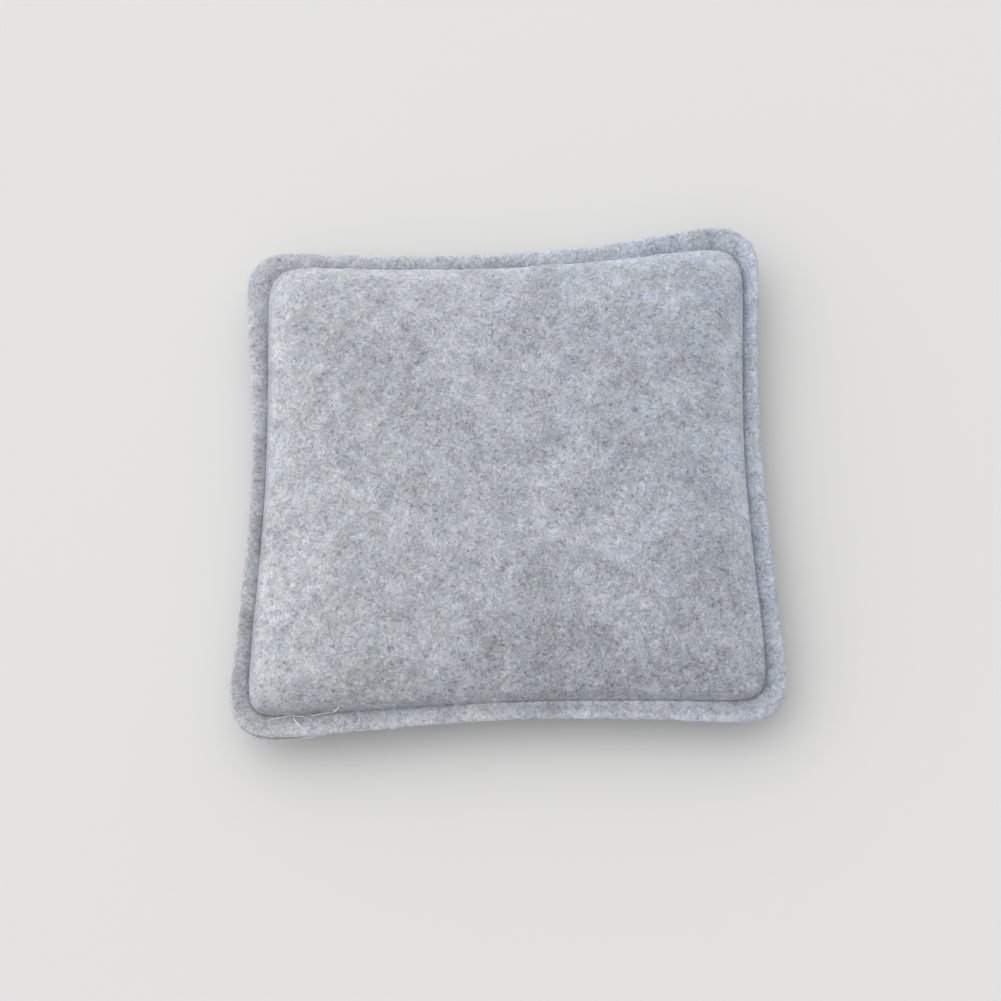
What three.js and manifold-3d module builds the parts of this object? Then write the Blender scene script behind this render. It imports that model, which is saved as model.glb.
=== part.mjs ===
// Needle felting pad: two squares of marled felt, sewn together a little inside their cut
// edges, round a stack of wadding. Millimetres, +Z up. The pad lies on the plane Z = 0 with
// the origin under the middle of its outline, and its front edge faces -Y.

import * as THREE from 'three';
import { ParametricGeometry } from 'three/addons/geometries/ParametricGeometry.js';
import { mergeGeometries, mergeVertices } from 'three/addons/utils/BufferGeometryUtils.js';
import Module from 'manifold-3d';

// Outline of the cut edge: a square with rounded corners and sides that the filling draws in
const PAD_WIDTH = 200;
const PAD_DEPTH = 200;
const EDGE_RADIUS = 18;
const FRONT_DRAW = 4.6;
const RIGHT_DRAW = 4.6;
const BACK_DRAW = 6.2;
const LEFT_DRAW = 4.8;

// The pad was sewn by hand and eye, so each corner lies a little off the true square
const FRONT_LEFT_OUT = { x: 2.5, y: 1 };
const FRONT_RIGHT_OUT = { x: 1, y: -0.5 };
const BACK_RIGHT_OUT = { x: 1, y: 4.5 };
const BACK_LEFT_OUT = { x: -1.5, y: -3.5 };

// Seam line, measured in from the cut edge at the corners
const SEAM_INSET_SIDES = 7.6;
const SEAM_INSET_ENDS = 9.2;
const SEAM_RADIUS = 11;
const SEAM_DRAW_SHARE = 0.5;
const GROOVE_WIDTH = 2.4;
const GROOVE_SLOPE = 1.2;

// Felt, and the clearance between pieces that touch
const FELT_THICKNESS = 2.5;
const SEWN_FELT_THICKNESS = 1.5;
const EDGE_ROUNDING = 0.5;
const CLEARANCE = 0.3;

// Heights above the table: the seam and the shoulder, and how far the crown rises past it
const SEAM_HEIGHT = 13;
const SHOULDER_HEIGHT = 25;
const CROWN_RISE = 3;
const REST_CUT = 0.5;

// The sides bulge as a superellipse from the seam to the shoulder, and the top is level from there
// a crown's run in
const SHOULDER_REACH = 28;
const CROWN_RUN = 10;
const SHOULDER_FULLNESS = 2.4;
const SHOULDER_ROUNDING = 0.6;
const DRAW_FADE = 25;
const WADDING_LAYERS = ['lower_wadding', 'middle_wadding', 'upper_wadding'];

// Lockstitch seam: it starts left of the front's middle and overlaps its own start
const THREAD_DIAMETER = 0.45;
const THREAD_CLEARANCE = 0.2;
const STITCH_LENGTH = 6;
const SEAM_START = 77;
const SEAM_OVERLAP = 16;
const OVERLAP_RAMP = 10;
const OVERLAP_OFFSET = 2.1;

// Loose ends of the needle thread: [along the seam, inward, up] from the thread at their hole
const START_TAIL = [[3.4, -4.6, 1], [2.2, -3.4, 1.9], [1.1, -1.4, 1.9]];
const END_TAIL = [[1.2, 2.4, 2.2], [2, 5, 5.2]];
const BOBBIN_STUB = 1;

// Facets
const SLICES = 52;
const SIDE_STATIONS = [0.25, 0.375, 0.5, 0.625, 0.75];
const ARC_STATIONS = [0, 30, 60, 90];
const DOME_STATIONS = [0, 0.02, 0.08, 0.2, 0.4, 0.68, 1];
const CORNER_CROWDING = 0.72;
const THREAD_SIDES = 3;
const CURVE_DIVISIONS = 600;
const MERGE_DISTANCE = 1e-4;

// Finishes
const FELT = { color: 0xb4b9c1, roughness: 0.95, metalness: 0 };
const WADDING = { color: 0xe9e4d8, roughness: 1, metalness: 0 };
const THREAD = { color: 0xd9d6d0, roughness: 0.7, metalness: 0 };

const wasm = await Module();
wasm.setup();

// Faces of the felt where the two panels meet, and the floor of the sewn groove
const PANEL_FACE = SEAM_HEIGHT + CLEARANCE / 2;
const MARGIN_TOP = PANEL_FACE + FELT_THICKNESS;
const GROOVE_FLOOR = PANEL_FACE + SEWN_FELT_THICKNESS;
const GROOVE_HALF = GROOVE_WIDTH / 2;
const MARGIN = Math.min(SEAM_INSET_SIDES, SEAM_INSET_ENDS);
const CENTRE = Infinity;

// Outline

const CORNERS = [
  { side: [-1, -1], out: FRONT_LEFT_OUT, draw: FRONT_DRAW },
  { side: [1, -1], out: FRONT_RIGHT_OUT, draw: RIGHT_DRAW },
  { side: [1, 1], out: BACK_RIGHT_OUT, draw: BACK_DRAW },
  { side: [-1, 1], out: BACK_LEFT_OUT, draw: LEFT_DRAW },
];

// How a ring that lies a distance inside the seam line (negative outside it) differs from the cut edge
function ringSizes(inside) {
  if (inside <= 0) {
    const share = 1 + inside / MARGIN;
    return {
      insetX: SEAM_INSET_SIDES * share,
      insetY: SEAM_INSET_ENDS * share,
      radius: THREE.MathUtils.lerp(EDGE_RADIUS, SEAM_RADIUS, share),
      drawShare: THREE.MathUtils.lerp(1, SEAM_DRAW_SHARE, share),
    };
  }
  return {
    insetX: SEAM_INSET_SIDES + inside,
    insetY: SEAM_INSET_ENDS + inside,
    radius: SEAM_RADIUS + SHOULDER_ROUNDING * inside,
    drawShare: SEAM_DRAW_SHARE * Math.exp(-inside / DRAW_FADE),
  };
}

// A closed curve round the pad, anticlockwise from the middle of the front
function ringCurve(inside) {
  const { insetX, insetY, radius, drawShare } = ringSizes(inside);
  const corners = CORNERS.map(({ side, out }) => new THREE.Vector3(
    side[0] * (PAD_WIDTH / 2 + out.x - insetX),
    side[1] * (PAD_DEPTH / 2 + out.y - insetY),
    0,
  ));
  const next = (index) => corners[(index + 1) % corners.length];
  const sidePoint = (index, share) => {
    const along = next(index).clone().sub(corners[index]);
    const inward = new THREE.Vector3(-along.y, along.x, 0).normalize();
    const draw = CORNERS[index].draw * drawShare * Math.sin(Math.PI * share) ** 2;
    return corners[index].clone().addScaledVector(along, share).addScaledVector(inward, draw);
  };
  const cornerArc = (index) => {
    const corner = corners[index];
    const toLast = corners.at(index - 1).clone().sub(corner).normalize().multiplyScalar(radius);
    const toNext = next(index).clone().sub(corner).normalize().multiplyScalar(radius);
    return ARC_STATIONS.map((degrees) => {
      const angle = THREE.MathUtils.degToRad(degrees);
      return corner.clone()
        .addScaledVector(toLast, 1 - Math.sin(angle))
        .addScaledVector(toNext, 1 - Math.cos(angle));
    });
  };
  const points = corners.flatMap((_, index) => [
    ...cornerArc(index),
    ...SIDE_STATIONS.map((share) => sidePoint(index, share)),
  ]);
  const beforeFrontMiddle = points.splice(0, ARC_STATIONS.length + SIDE_STATIONS.indexOf(0.5));
  const curve = new THREE.CatmullRomCurve3([...points, ...beforeFrontMiddle], true, 'centripetal');
  curve.arcLengthDivisions = CURVE_DIVISIONS;
  return curve;
}

// The ring's corner points for one slice each, crowded together at the four corners
const ringStore = new Map();
function ringPoints(inside) {
  if (!ringStore.has(inside)) {
    const curve = ringCurve(inside);
    const points = [];
    for (let slice = 0; slice < SLICES; slice += 1) {
      const share = slice / SLICES;
      const turns = 2 * Math.PI * CORNERS.length;
      points.push(curve.getPointAt(share + CORNER_CROWDING * Math.sin(turns * share) / turns));
    }
    ringStore.set(inside, points);
  }
  return ringStore.get(inside);
}

const edgeBox = new THREE.Box3().setFromPoints(ringPoints(-MARGIN));
const PLAN_CENTRE = edgeBox.getCenter(new THREE.Vector3());

// A point on the faceted ring, with share 0 to 1 round it
function ringPoint(inside, share) {
  const points = ringPoints(inside);
  const place = (share - Math.floor(share)) * SLICES;
  const slice = Math.floor(place) % SLICES;
  const start = points[slice];
  const end = points[(slice + 1) % SLICES];
  return start.clone().lerp(end, place - Math.floor(place)).sub(PLAN_CENTRE);
}

// Surfaces of the felt and the filling

const CROWN_REACH = GROOVE_HALF + SHOULDER_REACH + CROWN_RUN;

// Height of the bulging side as a share of the whole, 0 at the seam and 1 at the shoulder
function bulge(share) {
  const rest = 1 - THREE.MathUtils.clamp(share, 0, 1);
  return (1 - rest ** SHOULDER_FULLNESS) ** (1 / SHOULDER_FULLNESS);
}

// Share of the way from the seam to the shoulder at which the side has that height
function bulgeShare(height) {
  return 1 - (1 - height ** SHOULDER_FULLNESS) ** (1 / SHOULDER_FULLNESS);
}

// A surface lies a skin's depth inside the outer face of the felt, and starts where the groove ends
function insideAt(share, skin) {
  return GROOVE_HALF + skin + share * (SHOULDER_REACH - skin);
}

// Rows of [distance inside the seam, height] from the seam to the middle of the top
function upperDome(skin) {
  const base = skin > 0 ? PANEL_FACE : GROOVE_FLOOR;
  const rise = SHOULDER_HEIGHT - skin - base;
  const rows = DOME_STATIONS.map((share) => {
    const inside = insideAt(share, skin);
    const crown = share > 0 ? CROWN_RISE * inside / CROWN_REACH : 0;
    return [inside, base + rise * bulge(share) + crown];
  });
  const level = base + rise + CROWN_RISE;
  rows.push([CROWN_REACH, level], [CENTRE, level]);
  return rows;
}

// The same for the underside, which is flat where it lies on the table
function lowerDome(skin) {
  const base = 2 * SEAM_HEIGHT - (skin > 0 ? PANEL_FACE : GROOVE_FLOOR);
  const drop = base - skin;
  const flatShare = bulgeShare(drop / (drop + REST_CUT));
  const shares = DOME_STATIONS.filter((share) => share < flatShare);
  const rows = shares.map((share) => [insideAt(share, skin), base - (drop + REST_CUT) * bulge(share)]);
  rows.push([insideAt(flatShare, skin), skin]);
  rows.push([CENTRE, skin]);
  return rows;
}

// A closed surface round the pad through rows that run from its lowest middle to its highest
function wrapped(rows) {
  const stacks = rows.length - 1;
  const geometry = new ParametricGeometry((share, station, target) => {
    const [inside, height] = rows[Math.round(station * stacks)];
    const point = inside === CENTRE ? new THREE.Vector3() : ringPoint(inside, share);
    target.set(point.x, point.y, height);
  }, SLICES, stacks);
  return closed(geometry);
}

// One closed body: shared corners merged, and the flat slivers at the two middles left out
function closed(geometry) {
  geometry.deleteAttribute('normal');
  geometry.deleteAttribute('uv');
  const merged = mergeVertices(geometry, MERGE_DISTANCE);
  const corners = Array.from(merged.index.array);
  const kept = [];
  for (let first = 0; first < corners.length; first += 3) {
    const [a, b, c] = corners.slice(first, first + 3);
    if (a !== b && b !== c && c !== a) kept.push(a, b, c);
  }
  merged.setIndex(kept);
  return merged;
}

// Cutting

function toSolid(geometry) {
  return new wasm.Manifold(new wasm.Mesh({
    numProp: 3,
    vertProperties: new Float32Array(geometry.attributes.position.array),
    triVerts: new Uint32Array(geometry.index.array),
  }));
}

function cut(geometry, cutter) {
  const mesh = toSolid(geometry).subtract(cutter).getMesh();
  const result = new THREE.BufferGeometry();
  result.setAttribute('position', new THREE.BufferAttribute(new Float32Array(mesh.vertProperties), 3));
  result.setIndex(new THREE.BufferAttribute(new Uint32Array(mesh.triVerts), 1));
  return result;
}

// Lockstitch seam

const THREAD_RADIUS = THREAD_DIAMETER / 2;
const THREAD_PITCH = THREAD_DIAMETER + THREAD_CLEARANCE;
const LEG_OFFSET = THREAD_PITCH / Math.SQRT2;
const HOLE_WIDTH = 2 * (LEG_OFFSET + THREAD_RADIUS + THREAD_CLEARANCE);
const LOCK_DEPTH = THREAD_PITCH / 2;
const REST_ON_FELT = THREAD_CLEARANCE + THREAD_RADIUS;

const seamLine = ringPoints(0);
const seamSteps = seamLine.map((point, slice) => point.distanceTo(seamLine[(slice + 1) % SLICES]));
const SEAM_LENGTH = seamSteps.reduce((sum, step) => sum + step, 0);
const SEWN_LENGTH = SEAM_LENGTH + SEAM_OVERLAP;
const STITCHES = Math.round(SEWN_LENGTH / STITCH_LENGTH);

// Share round the seam at a length along it from the middle of the front
function seamShare(length) {
  let left = THREE.MathUtils.euclideanModulo(length, SEAM_LENGTH);
  let slice = 0;
  while (slice < SLICES - 1 && left > seamSteps[slice]) {
    left -= seamSteps[slice];
    slice += 1;
  }
  return (slice + Math.min(left / seamSteps[slice], 1)) / SLICES;
}

// A needle hole: its place, the way that the seam runs there, and how far it has left the groove
function needleHole(stitch) {
  const sewn = SEWN_LENGTH * stitch / STITCHES;
  const share = seamShare(sewn - SEAM_START);
  const lift = THREE.MathUtils.clamp(1 + (sewn - SEAM_LENGTH) / OVERLAP_RAMP, 0, 1);
  const inside = -OVERLAP_OFFSET * lift;
  const slice = Math.floor(share * SLICES) % SLICES;
  const line = ringPoints(inside);
  const along = line[(slice + 1) % SLICES].clone().sub(line[slice]).normalize();
  const inward = new THREE.Vector3(-along.y, along.x, 0);
  const surface = THREE.MathUtils.lerp(GROOVE_FLOOR, MARGIN_TOP, lift);
  const place = ringPoint(inside, share);
  const at = (ahead, aside, height) => place.clone()
    .addScaledVector(along, ahead)
    .addScaledVector(inward, aside)
    .setZ(height);
  return { at, along, top: surface + REST_ON_FELT, bottom: 2 * SEAM_HEIGHT - surface - REST_ON_FELT };
}

const holes = Array.from({ length: STITCHES + 1 }, (_, stitch) => needleHole(stitch));

// The thread's course as straight runs from point to point
class ThreadCourse extends THREE.Curve {
  constructor(points) {
    super();
    this.points = points;
  }

  getPoint(share, target = new THREE.Vector3()) {
    const last = this.points.length - 1;
    const place = share * last;
    const index = Math.min(Math.floor(place + MERGE_DISTANCE), last - 1);
    return target.lerpVectors(this.points[index], this.points[index + 1], place - index);
  }

  getUtoTmapping(share) {
    return share;
  }

  getTangent(share, target = new THREE.Vector3()) {
    const last = this.points.length - 1;
    const index = Math.round(share * last);
    const here = this.points[index];
    const before = this.points[Math.max(index - 1, 0)];
    const after = this.points[Math.min(index + 1, last)];
    const arriving = here.clone().sub(before).normalize();
    const leaving = after.clone().sub(here).normalize();
    return target.copy(arriving).add(leaving).normalize();
  }
}

function threadAlong(points) {
  const section = new THREE.Shape();
  for (let side = 0; side < THREAD_SIDES; side += 1) {
    const angle = 2 * Math.PI * side / THREAD_SIDES;
    const corner = [THREAD_RADIUS * Math.cos(angle), THREAD_RADIUS * Math.sin(angle)];
    if (side === 0) section.moveTo(...corner);
    else section.lineTo(...corner);
  }
  section.closePath();
  return closed(new THREE.ExtrudeGeometry(section, {
    steps: points.length - 1,
    extrudePath: new ThreadCourse(points),
    bevelEnabled: false,
  }));
}

// At each hole the needle thread's loop goes down round the bobbin thread's loop, and they lock
function needleThread() {
  const first = holes[0];
  const last = holes[STITCHES];
  const points = START_TAIL.map(([ahead, aside, up]) => first.at(ahead, aside, first.top + up));
  for (const { at, top } of holes) {
    points.push(at(-LEG_OFFSET, -LEG_OFFSET, top));
    points.push(at(-LEG_OFFSET, -LEG_OFFSET, SEAM_HEIGHT - LOCK_DEPTH));
    points.push(at(LEG_OFFSET, LEG_OFFSET, SEAM_HEIGHT - LOCK_DEPTH));
    points.push(at(LEG_OFFSET, LEG_OFFSET, top));
  }
  points.push(...END_TAIL.map(([ahead, aside, up]) => last.at(ahead, aside, last.top + up)));
  return threadAlong(points);
}

function bobbinThread() {
  const first = holes[0];
  const last = holes[STITCHES];
  const points = [first.at(-LEG_OFFSET - BOBBIN_STUB, LEG_OFFSET, first.bottom)];
  for (const { at, bottom } of holes) {
    points.push(at(-LEG_OFFSET, LEG_OFFSET, bottom));
    points.push(at(-LEG_OFFSET, LEG_OFFSET, SEAM_HEIGHT + LOCK_DEPTH));
    points.push(at(LEG_OFFSET, -LEG_OFFSET, SEAM_HEIGHT + LOCK_DEPTH));
    points.push(at(LEG_OFFSET, -LEG_OFFSET, bottom));
  }
  points.push(last.at(LEG_OFFSET + BOBBIN_STUB, -LEG_OFFSET, last.bottom));
  return threadAlong(points);
}

function needleHoleCutter() {
  const height = 4 * FELT_THICKNESS + CLEARANCE;
  const boxes = holes.map(({ at, along }) => {
    const box = new THREE.BoxGeometry(HOLE_WIDTH, HOLE_WIDTH, height);
    box.rotateZ(Math.atan2(along.y, along.x));
    return box.translate(...at(0, 0, SEAM_HEIGHT).toArray());
  });
  return toSolid(closed(mergeGeometries(boxes)));
}

// Felt panels

function topPanel() {
  return wrapped([
    ...upperDome(FELT_THICKNESS).reverse(),
    [-MARGIN + EDGE_ROUNDING, PANEL_FACE],
    [-MARGIN, PANEL_FACE + EDGE_ROUNDING],
    [-MARGIN, MARGIN_TOP - EDGE_ROUNDING],
    [-MARGIN + EDGE_ROUNDING, MARGIN_TOP],
    [-GROOVE_HALF - GROOVE_SLOPE, MARGIN_TOP],
    [-GROOVE_HALF, GROOVE_FLOOR],
    ...upperDome(0),
  ]);
}

function bottomPanel() {
  const mirrored = (height) => 2 * SEAM_HEIGHT - height;
  return wrapped([
    ...lowerDome(0).reverse(),
    [-GROOVE_HALF, mirrored(GROOVE_FLOOR)],
    [-GROOVE_HALF - GROOVE_SLOPE, mirrored(MARGIN_TOP)],
    [-MARGIN + EDGE_ROUNDING, mirrored(MARGIN_TOP)],
    [-MARGIN, mirrored(MARGIN_TOP - EDGE_ROUNDING)],
    [-MARGIN, mirrored(PANEL_FACE + EDGE_ROUNDING)],
    [-MARGIN + EDGE_ROUNDING, mirrored(PANEL_FACE)],
    ...lowerDome(FELT_THICKNESS),
  ]);
}

// Wadding layers: the space inside the felt, sliced level

const CORE_SKIN = FELT_THICKNESS + CLEARANCE;
const coreRows = [...lowerDome(CORE_SKIN).reverse(), ...upperDome(CORE_SKIN)];
const CORE_BOTTOM = coreRows[0][1];
const CORE_TOP = coreRows[coreRows.length - 1][1];
const GAPS_BETWEEN_LAYERS = (WADDING_LAYERS.length - 1) * CLEARANCE;
const LAYER_THICKNESS = (CORE_TOP - CORE_BOTTOM - GAPS_BETWEEN_LAYERS) / WADDING_LAYERS.length;

// Where the filling's edge lies at a height
function coreEdge(height) {
  const upper = coreRows.findIndex((row) => row[1] >= height);
  const [insideLow, low] = coreRows[upper - 1];
  const [insideHigh, high] = coreRows[upper];
  return THREE.MathUtils.lerp(insideLow, insideHigh, (height - low) / (high - low));
}

function waddingLayer(index) {
  const low = CORE_BOTTOM + index * (LAYER_THICKNESS + CLEARANCE);
  const high = low + LAYER_THICKNESS;
  const isLowest = index === 0;
  const isHighest = index === WADDING_LAYERS.length - 1;
  const sides = coreRows.filter((row) => row[1] > low && row[1] < high);
  const lowerFace = isLowest ? coreRows.slice(0, 2) : [[CENTRE, low], [coreEdge(low), low]];
  const upperFace = isHighest ? coreRows.slice(-1) : [[coreEdge(high), high], [CENTRE, high]];
  return wrapped([...lowerFace, ...sides, ...upperFace]);
}

// Assembly

const pad = new THREE.Group();

function addPiece(name, geometry, finish) {
  const piece = new THREE.Mesh(geometry, new THREE.MeshStandardMaterial(finish));
  piece.name = name;
  pad.add(piece);
}

const needleHoles = needleHoleCutter();
addPiece('top_panel', cut(topPanel(), needleHoles), FELT);
addPiece('bottom_panel', cut(bottomPanel(), needleHoles), FELT);
WADDING_LAYERS.forEach((name, index) => addPiece(name, waddingLayer(index), WADDING));
addPiece('needle_thread', needleThread(), THREAD);
addPiece('bobbin_thread', bobbinThread(), THREAD);

export default pad;
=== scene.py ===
"""Needle felting pad: two squares of marled felt sewn round a stack of wadding, on a pale table."""

import logging
import math
from collections.abc import Callable, Iterator
from dataclasses import dataclass, field
from enum import Enum
from functools import partial

import bpy
import numpy as np
from bpy.types import Material, Mesh, Node, NodeSocket, NodeTree, Object
from mathutils import Matrix, Vector, noise


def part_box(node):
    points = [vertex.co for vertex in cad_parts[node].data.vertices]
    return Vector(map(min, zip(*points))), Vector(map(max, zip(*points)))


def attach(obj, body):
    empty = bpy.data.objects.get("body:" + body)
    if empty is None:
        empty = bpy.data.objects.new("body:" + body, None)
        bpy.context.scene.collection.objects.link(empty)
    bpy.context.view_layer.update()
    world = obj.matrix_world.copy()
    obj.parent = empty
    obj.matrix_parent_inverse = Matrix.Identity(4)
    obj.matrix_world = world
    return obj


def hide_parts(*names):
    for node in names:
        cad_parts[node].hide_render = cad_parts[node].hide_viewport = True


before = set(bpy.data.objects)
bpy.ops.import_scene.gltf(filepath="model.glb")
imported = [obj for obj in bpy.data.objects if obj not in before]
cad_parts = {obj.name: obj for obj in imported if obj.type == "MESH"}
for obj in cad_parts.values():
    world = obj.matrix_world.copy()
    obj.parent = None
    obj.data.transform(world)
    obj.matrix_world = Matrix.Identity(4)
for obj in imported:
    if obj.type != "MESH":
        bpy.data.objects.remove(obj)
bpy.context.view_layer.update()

Triple = tuple[float, float, float]
NodeMaker = Callable[..., Node]

LOG = logging.getLogger("felting_pad")
BODY = "root"
MM = 0.001
TINY = 1e-12
STITCH = 6 * MM
# Names of the felt's flat map and of the numbers that points carry
FLAT_MAP, FUZZ, TONE, TAUT_AND_SHADE, SHADE, ALONG = "flat_felt", "fuzz", "tone", "taut_and_shade", "shade", "along"

# Places of a Mix node's factor and colours among its inputs, and of its colour among its outputs
FACTOR, FIRST, SECOND, MIXED = 0, 6, 7, 2
# Places of a Random Value node's numbers for its limits, and of the number that it gives
LEAST, MOST, DRAWN = 2, 3, 1

# Shares of the way round the pad, from the middle of the front by the right side
FRONT, FRONT_RIGHT, RIGHT, BACK_RIGHT = 0, 1 / 8, 1 / 4, 3 / 8
BACK, BACK_LEFT, LEFT, FRONT_LEFT = 1 / 2, 5 / 8, 3 / 4, 7 / 8
SOFT_FRONT, PALEST_MARGIN, LOWER_SHOWS, STITCHES_SHOW = 0.045, 0.45, 0.893, 0.91


class Face(Enum):
    """Which way a felt panel's outer face looks: up from the pad, or down to the table."""

    TOP = 1
    BOTTOM = -1


# Nodes, meshes and pieces


def linear(colour: str) -> tuple[float, float, float, float]:
    """Turns an sRGB hex colour into a linear one.

    Args:
        colour: Six hex digits after a hash.

    Returns:
        Red, green, blue and alpha for a colour socket.
    """
    shares = [int(colour[place:place + 2], 16) / 255 for place in (1, 3, 5)]
    red, green, blue = (
        share / 12.92 if share <= 0.04045 else ((share + 0.055) / 1.055) ** 2.4
        for share in shares
    )
    return red, green, blue, 1.0


def add_node(tree: NodeTree, kind: str, inputs: dict | None = None, **settings: object) -> Node:
    """Adds a node with its settings, and sets or links its inputs.

    Args:
        tree: Node tree that gets the node.
        kind: Blender's name for the node's type.
        inputs: Values, or sockets or nodes to link, by input name or place.
        settings: Attributes of the node.

    Returns:
        The new node.
    """
    node = tree.nodes.new(kind)
    for name, value in settings.items():
        setattr(node, name, value)
    for key, value in (inputs or {}).items():
        source = value.outputs[0] if isinstance(value, Node) else value
        if isinstance(source, NodeSocket):
            tree.links.new(source, node.inputs[key])
        else:
            node.inputs[key].default_value = source
    return node


def new_material(name: str) -> tuple[Material, NodeMaker]:
    """Starts a material.

    Args:
        name: The real material's name.

    Returns:
        The material, and the function that adds nodes to it.
    """
    material = bpy.data.materials.new(name)
    material.use_nodes = True
    material.node_tree.nodes.clear()
    return material, partial(add_node, material.node_tree)


def shaded(material: Material, inputs: dict) -> Material:
    """Ends a material in one Principled shader.

    Args:
        material: The material.
        inputs: What the shader's sockets hold or are linked to.

    Returns:
        The same material.
    """
    shader = add_node(material.node_tree, "ShaderNodeBsdfPrincipled", inputs)
    add_node(material.node_tree, "ShaderNodeOutputMaterial", {"Surface": shader})
    return material


def new_tree(name: str, values: dict[str, object]) -> tuple[NodeTree, Node]:
    """Starts a Geometry Nodes tree that takes and gives geometry.

    Args:
        name: The tree's name.
        values: Values that get an input each, by name.

    Returns:
        The tree and its input node.
    """
    kinds = {float: "NodeSocketFloat", int: "NodeSocketInt", Material: "NodeSocketMaterial"}
    tree = bpy.data.node_groups.new(name, "GeometryNodeTree")
    for way in ("INPUT", "OUTPUT"):
        tree.interface.new_socket("Geometry", in_out=way, socket_type="NodeSocketGeometry")
    for label, value in values.items():
        kind = next(socket for base, socket in kinds.items() if isinstance(value, base))
        tree.interface.new_socket(label, in_out="INPUT", socket_type=kind)
    return tree, add_node(tree, "NodeGroupInput")


def plain_mesh(drawn: Object) -> Mesh:
    """Turns an object that is in the scene into a plain mesh, and removes the object.

    Args:
        drawn: The object, with its modifiers.

    Returns:
        The new mesh.
    """
    depsgraph = bpy.context.evaluated_depsgraph_get()
    mesh = bpy.data.meshes.new_from_object(
        drawn.evaluated_get(depsgraph), preserve_all_data_layers=True, depsgraph=depsgraph
    )
    drawn.modifiers.clear()
    bpy.data.objects.remove(drawn)
    return mesh


def grown(source: Mesh, tree: NodeTree, values: dict[str, object]) -> Mesh:
    """Runs a Geometry Nodes tree on a mesh.

    Args:
        source: Mesh that the tree grows on. It isn't changed.
        tree: The tree.
        values: Values for the tree's named inputs.

    Returns:
        What the tree gives, as a plain mesh.
    """
    carrier = bpy.data.objects.new("carrier", source)
    bpy.context.scene.collection.objects.link(carrier)
    modifier = carrier.modifiers.new("grow", "NODES")
    modifier.node_group = tree
    for item in tree.interface.items_tree:
        if item.in_out == "INPUT" and item.name in values:
            modifier[item.identifier] = values[item.name]
    return plain_mesh(carrier)


def new_mesh(name: str, points: np.ndarray, edges: list, faces: np.ndarray | list) -> Mesh:
    """Makes a mesh.

    Args:
        name: The mesh's name.
        points: Its points, one to a row.
        edges: Edges that belong to no face.
        faces: The numbers of each face's points.

    Returns:
        The mesh.
    """
    mesh = bpy.data.meshes.new(name)
    mesh.from_pydata(np.asarray(points).tolist(), edges, np.asarray(faces).tolist())
    return mesh


def carry(mesh: Mesh, name: str, values: np.ndarray | list) -> None:
    """Stores a number on each point of a mesh."""
    mesh.attributes.new(name, "FLOAT", "POINT").data.foreach_set("value", values)


def new_piece(name: str, mesh: Mesh, material: Material | None = None) -> Object:
    """Puts a mesh into the scene as an object at the origin.

    Args:
        name: The object's name.
        mesh: Its mesh, in the frame's place.
        material: Finish for the whole mesh, unless the mesh has its own.

    Returns:
        The object.
    """
    if material is not None:
        mesh.materials.clear()
        mesh.materials.append(material)
    mesh.shade_smooth()
    piece = bpy.data.objects.new(name, mesh)
    bpy.context.scene.collection.objects.link(piece)
    return piece


def hand_over(piece: Object, slot: str, *nodes: str) -> Object:
    """Rides a piece on the pad and reports it.

    Args:
        piece: The piece.
        slot: Name of its material slot; not used.
        nodes: The CAD nodes that it stands for.

    Returns:
        The same piece.
    """
    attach(piece, BODY)
    if nodes:
        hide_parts(*nodes)
    LOG.info("%s: %d faces", piece.name, len(piece.data.polygons))
    return piece


# Finishes


def weighted(add: NodeMaker, start: float, parts: list[tuple]) -> Node | float:
    """Adds up sockets by their weights.

    Args:
        add: Function that adds nodes to the tree.
        start: Number that the sum starts from.
        parts: Sockets or nodes with their weights.

    Returns:
        The sum.
    """
    total = start
    for part, weight in parts:
        total = add("ShaderNodeMath", {0: part, 1: weight, 2: total}, operation="MULTIPLY_ADD")
    return total


@dataclass(frozen=True)
class CurledFibres:
    """One kind of fibre curled on the felt, drawn many times thicker than wool so that it shows."""

    bend: float
    thickness: float
    piece: float
    rarity: float
    weight: float
    shift: Triple
    fade: float = 0.08

    def shown(self, add: NodeMaker, lay: NodeMaker) -> Node:
        """Adds thin curled lines, broken into short pieces.

        Args:
            add: Function that adds nodes to the material.
            lay: Function that lays noise on the flat felt.

        Returns:
            A node that is 1 on a fibre and 0 beside it.
        """
        line = lay(self.bend, self.bend, detail=1.0, shift=self.shift)
        centred = add("ShaderNodeMath", {0: line, 1: 0.5}, operation="SUBTRACT")
        aside = add("ShaderNodeMath", {0: centred}, operation="ABSOLUTE")
        # Noise climbs by about a third of its range over one feature, so this is the fibre's half width.
        half_width = self.thickness / self.bend / 3
        fibre = add(
            "ShaderNodeMapRange", {"Value": aside, "From Min": half_width, "From Max": 0.0},
            interpolation_type="SMOOTHSTEP",
        )
        broken = lay(self.piece, self.piece, detail=0.0, shift=self.shift)
        there = add(
            "ShaderNodeMapRange",
            {"Value": broken, "From Min": self.rarity, "From Max": self.rarity + self.fade},
        )
        return add("ShaderNodeMath", {0: fibre, 1: there}, operation="MULTIPLY")


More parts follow.
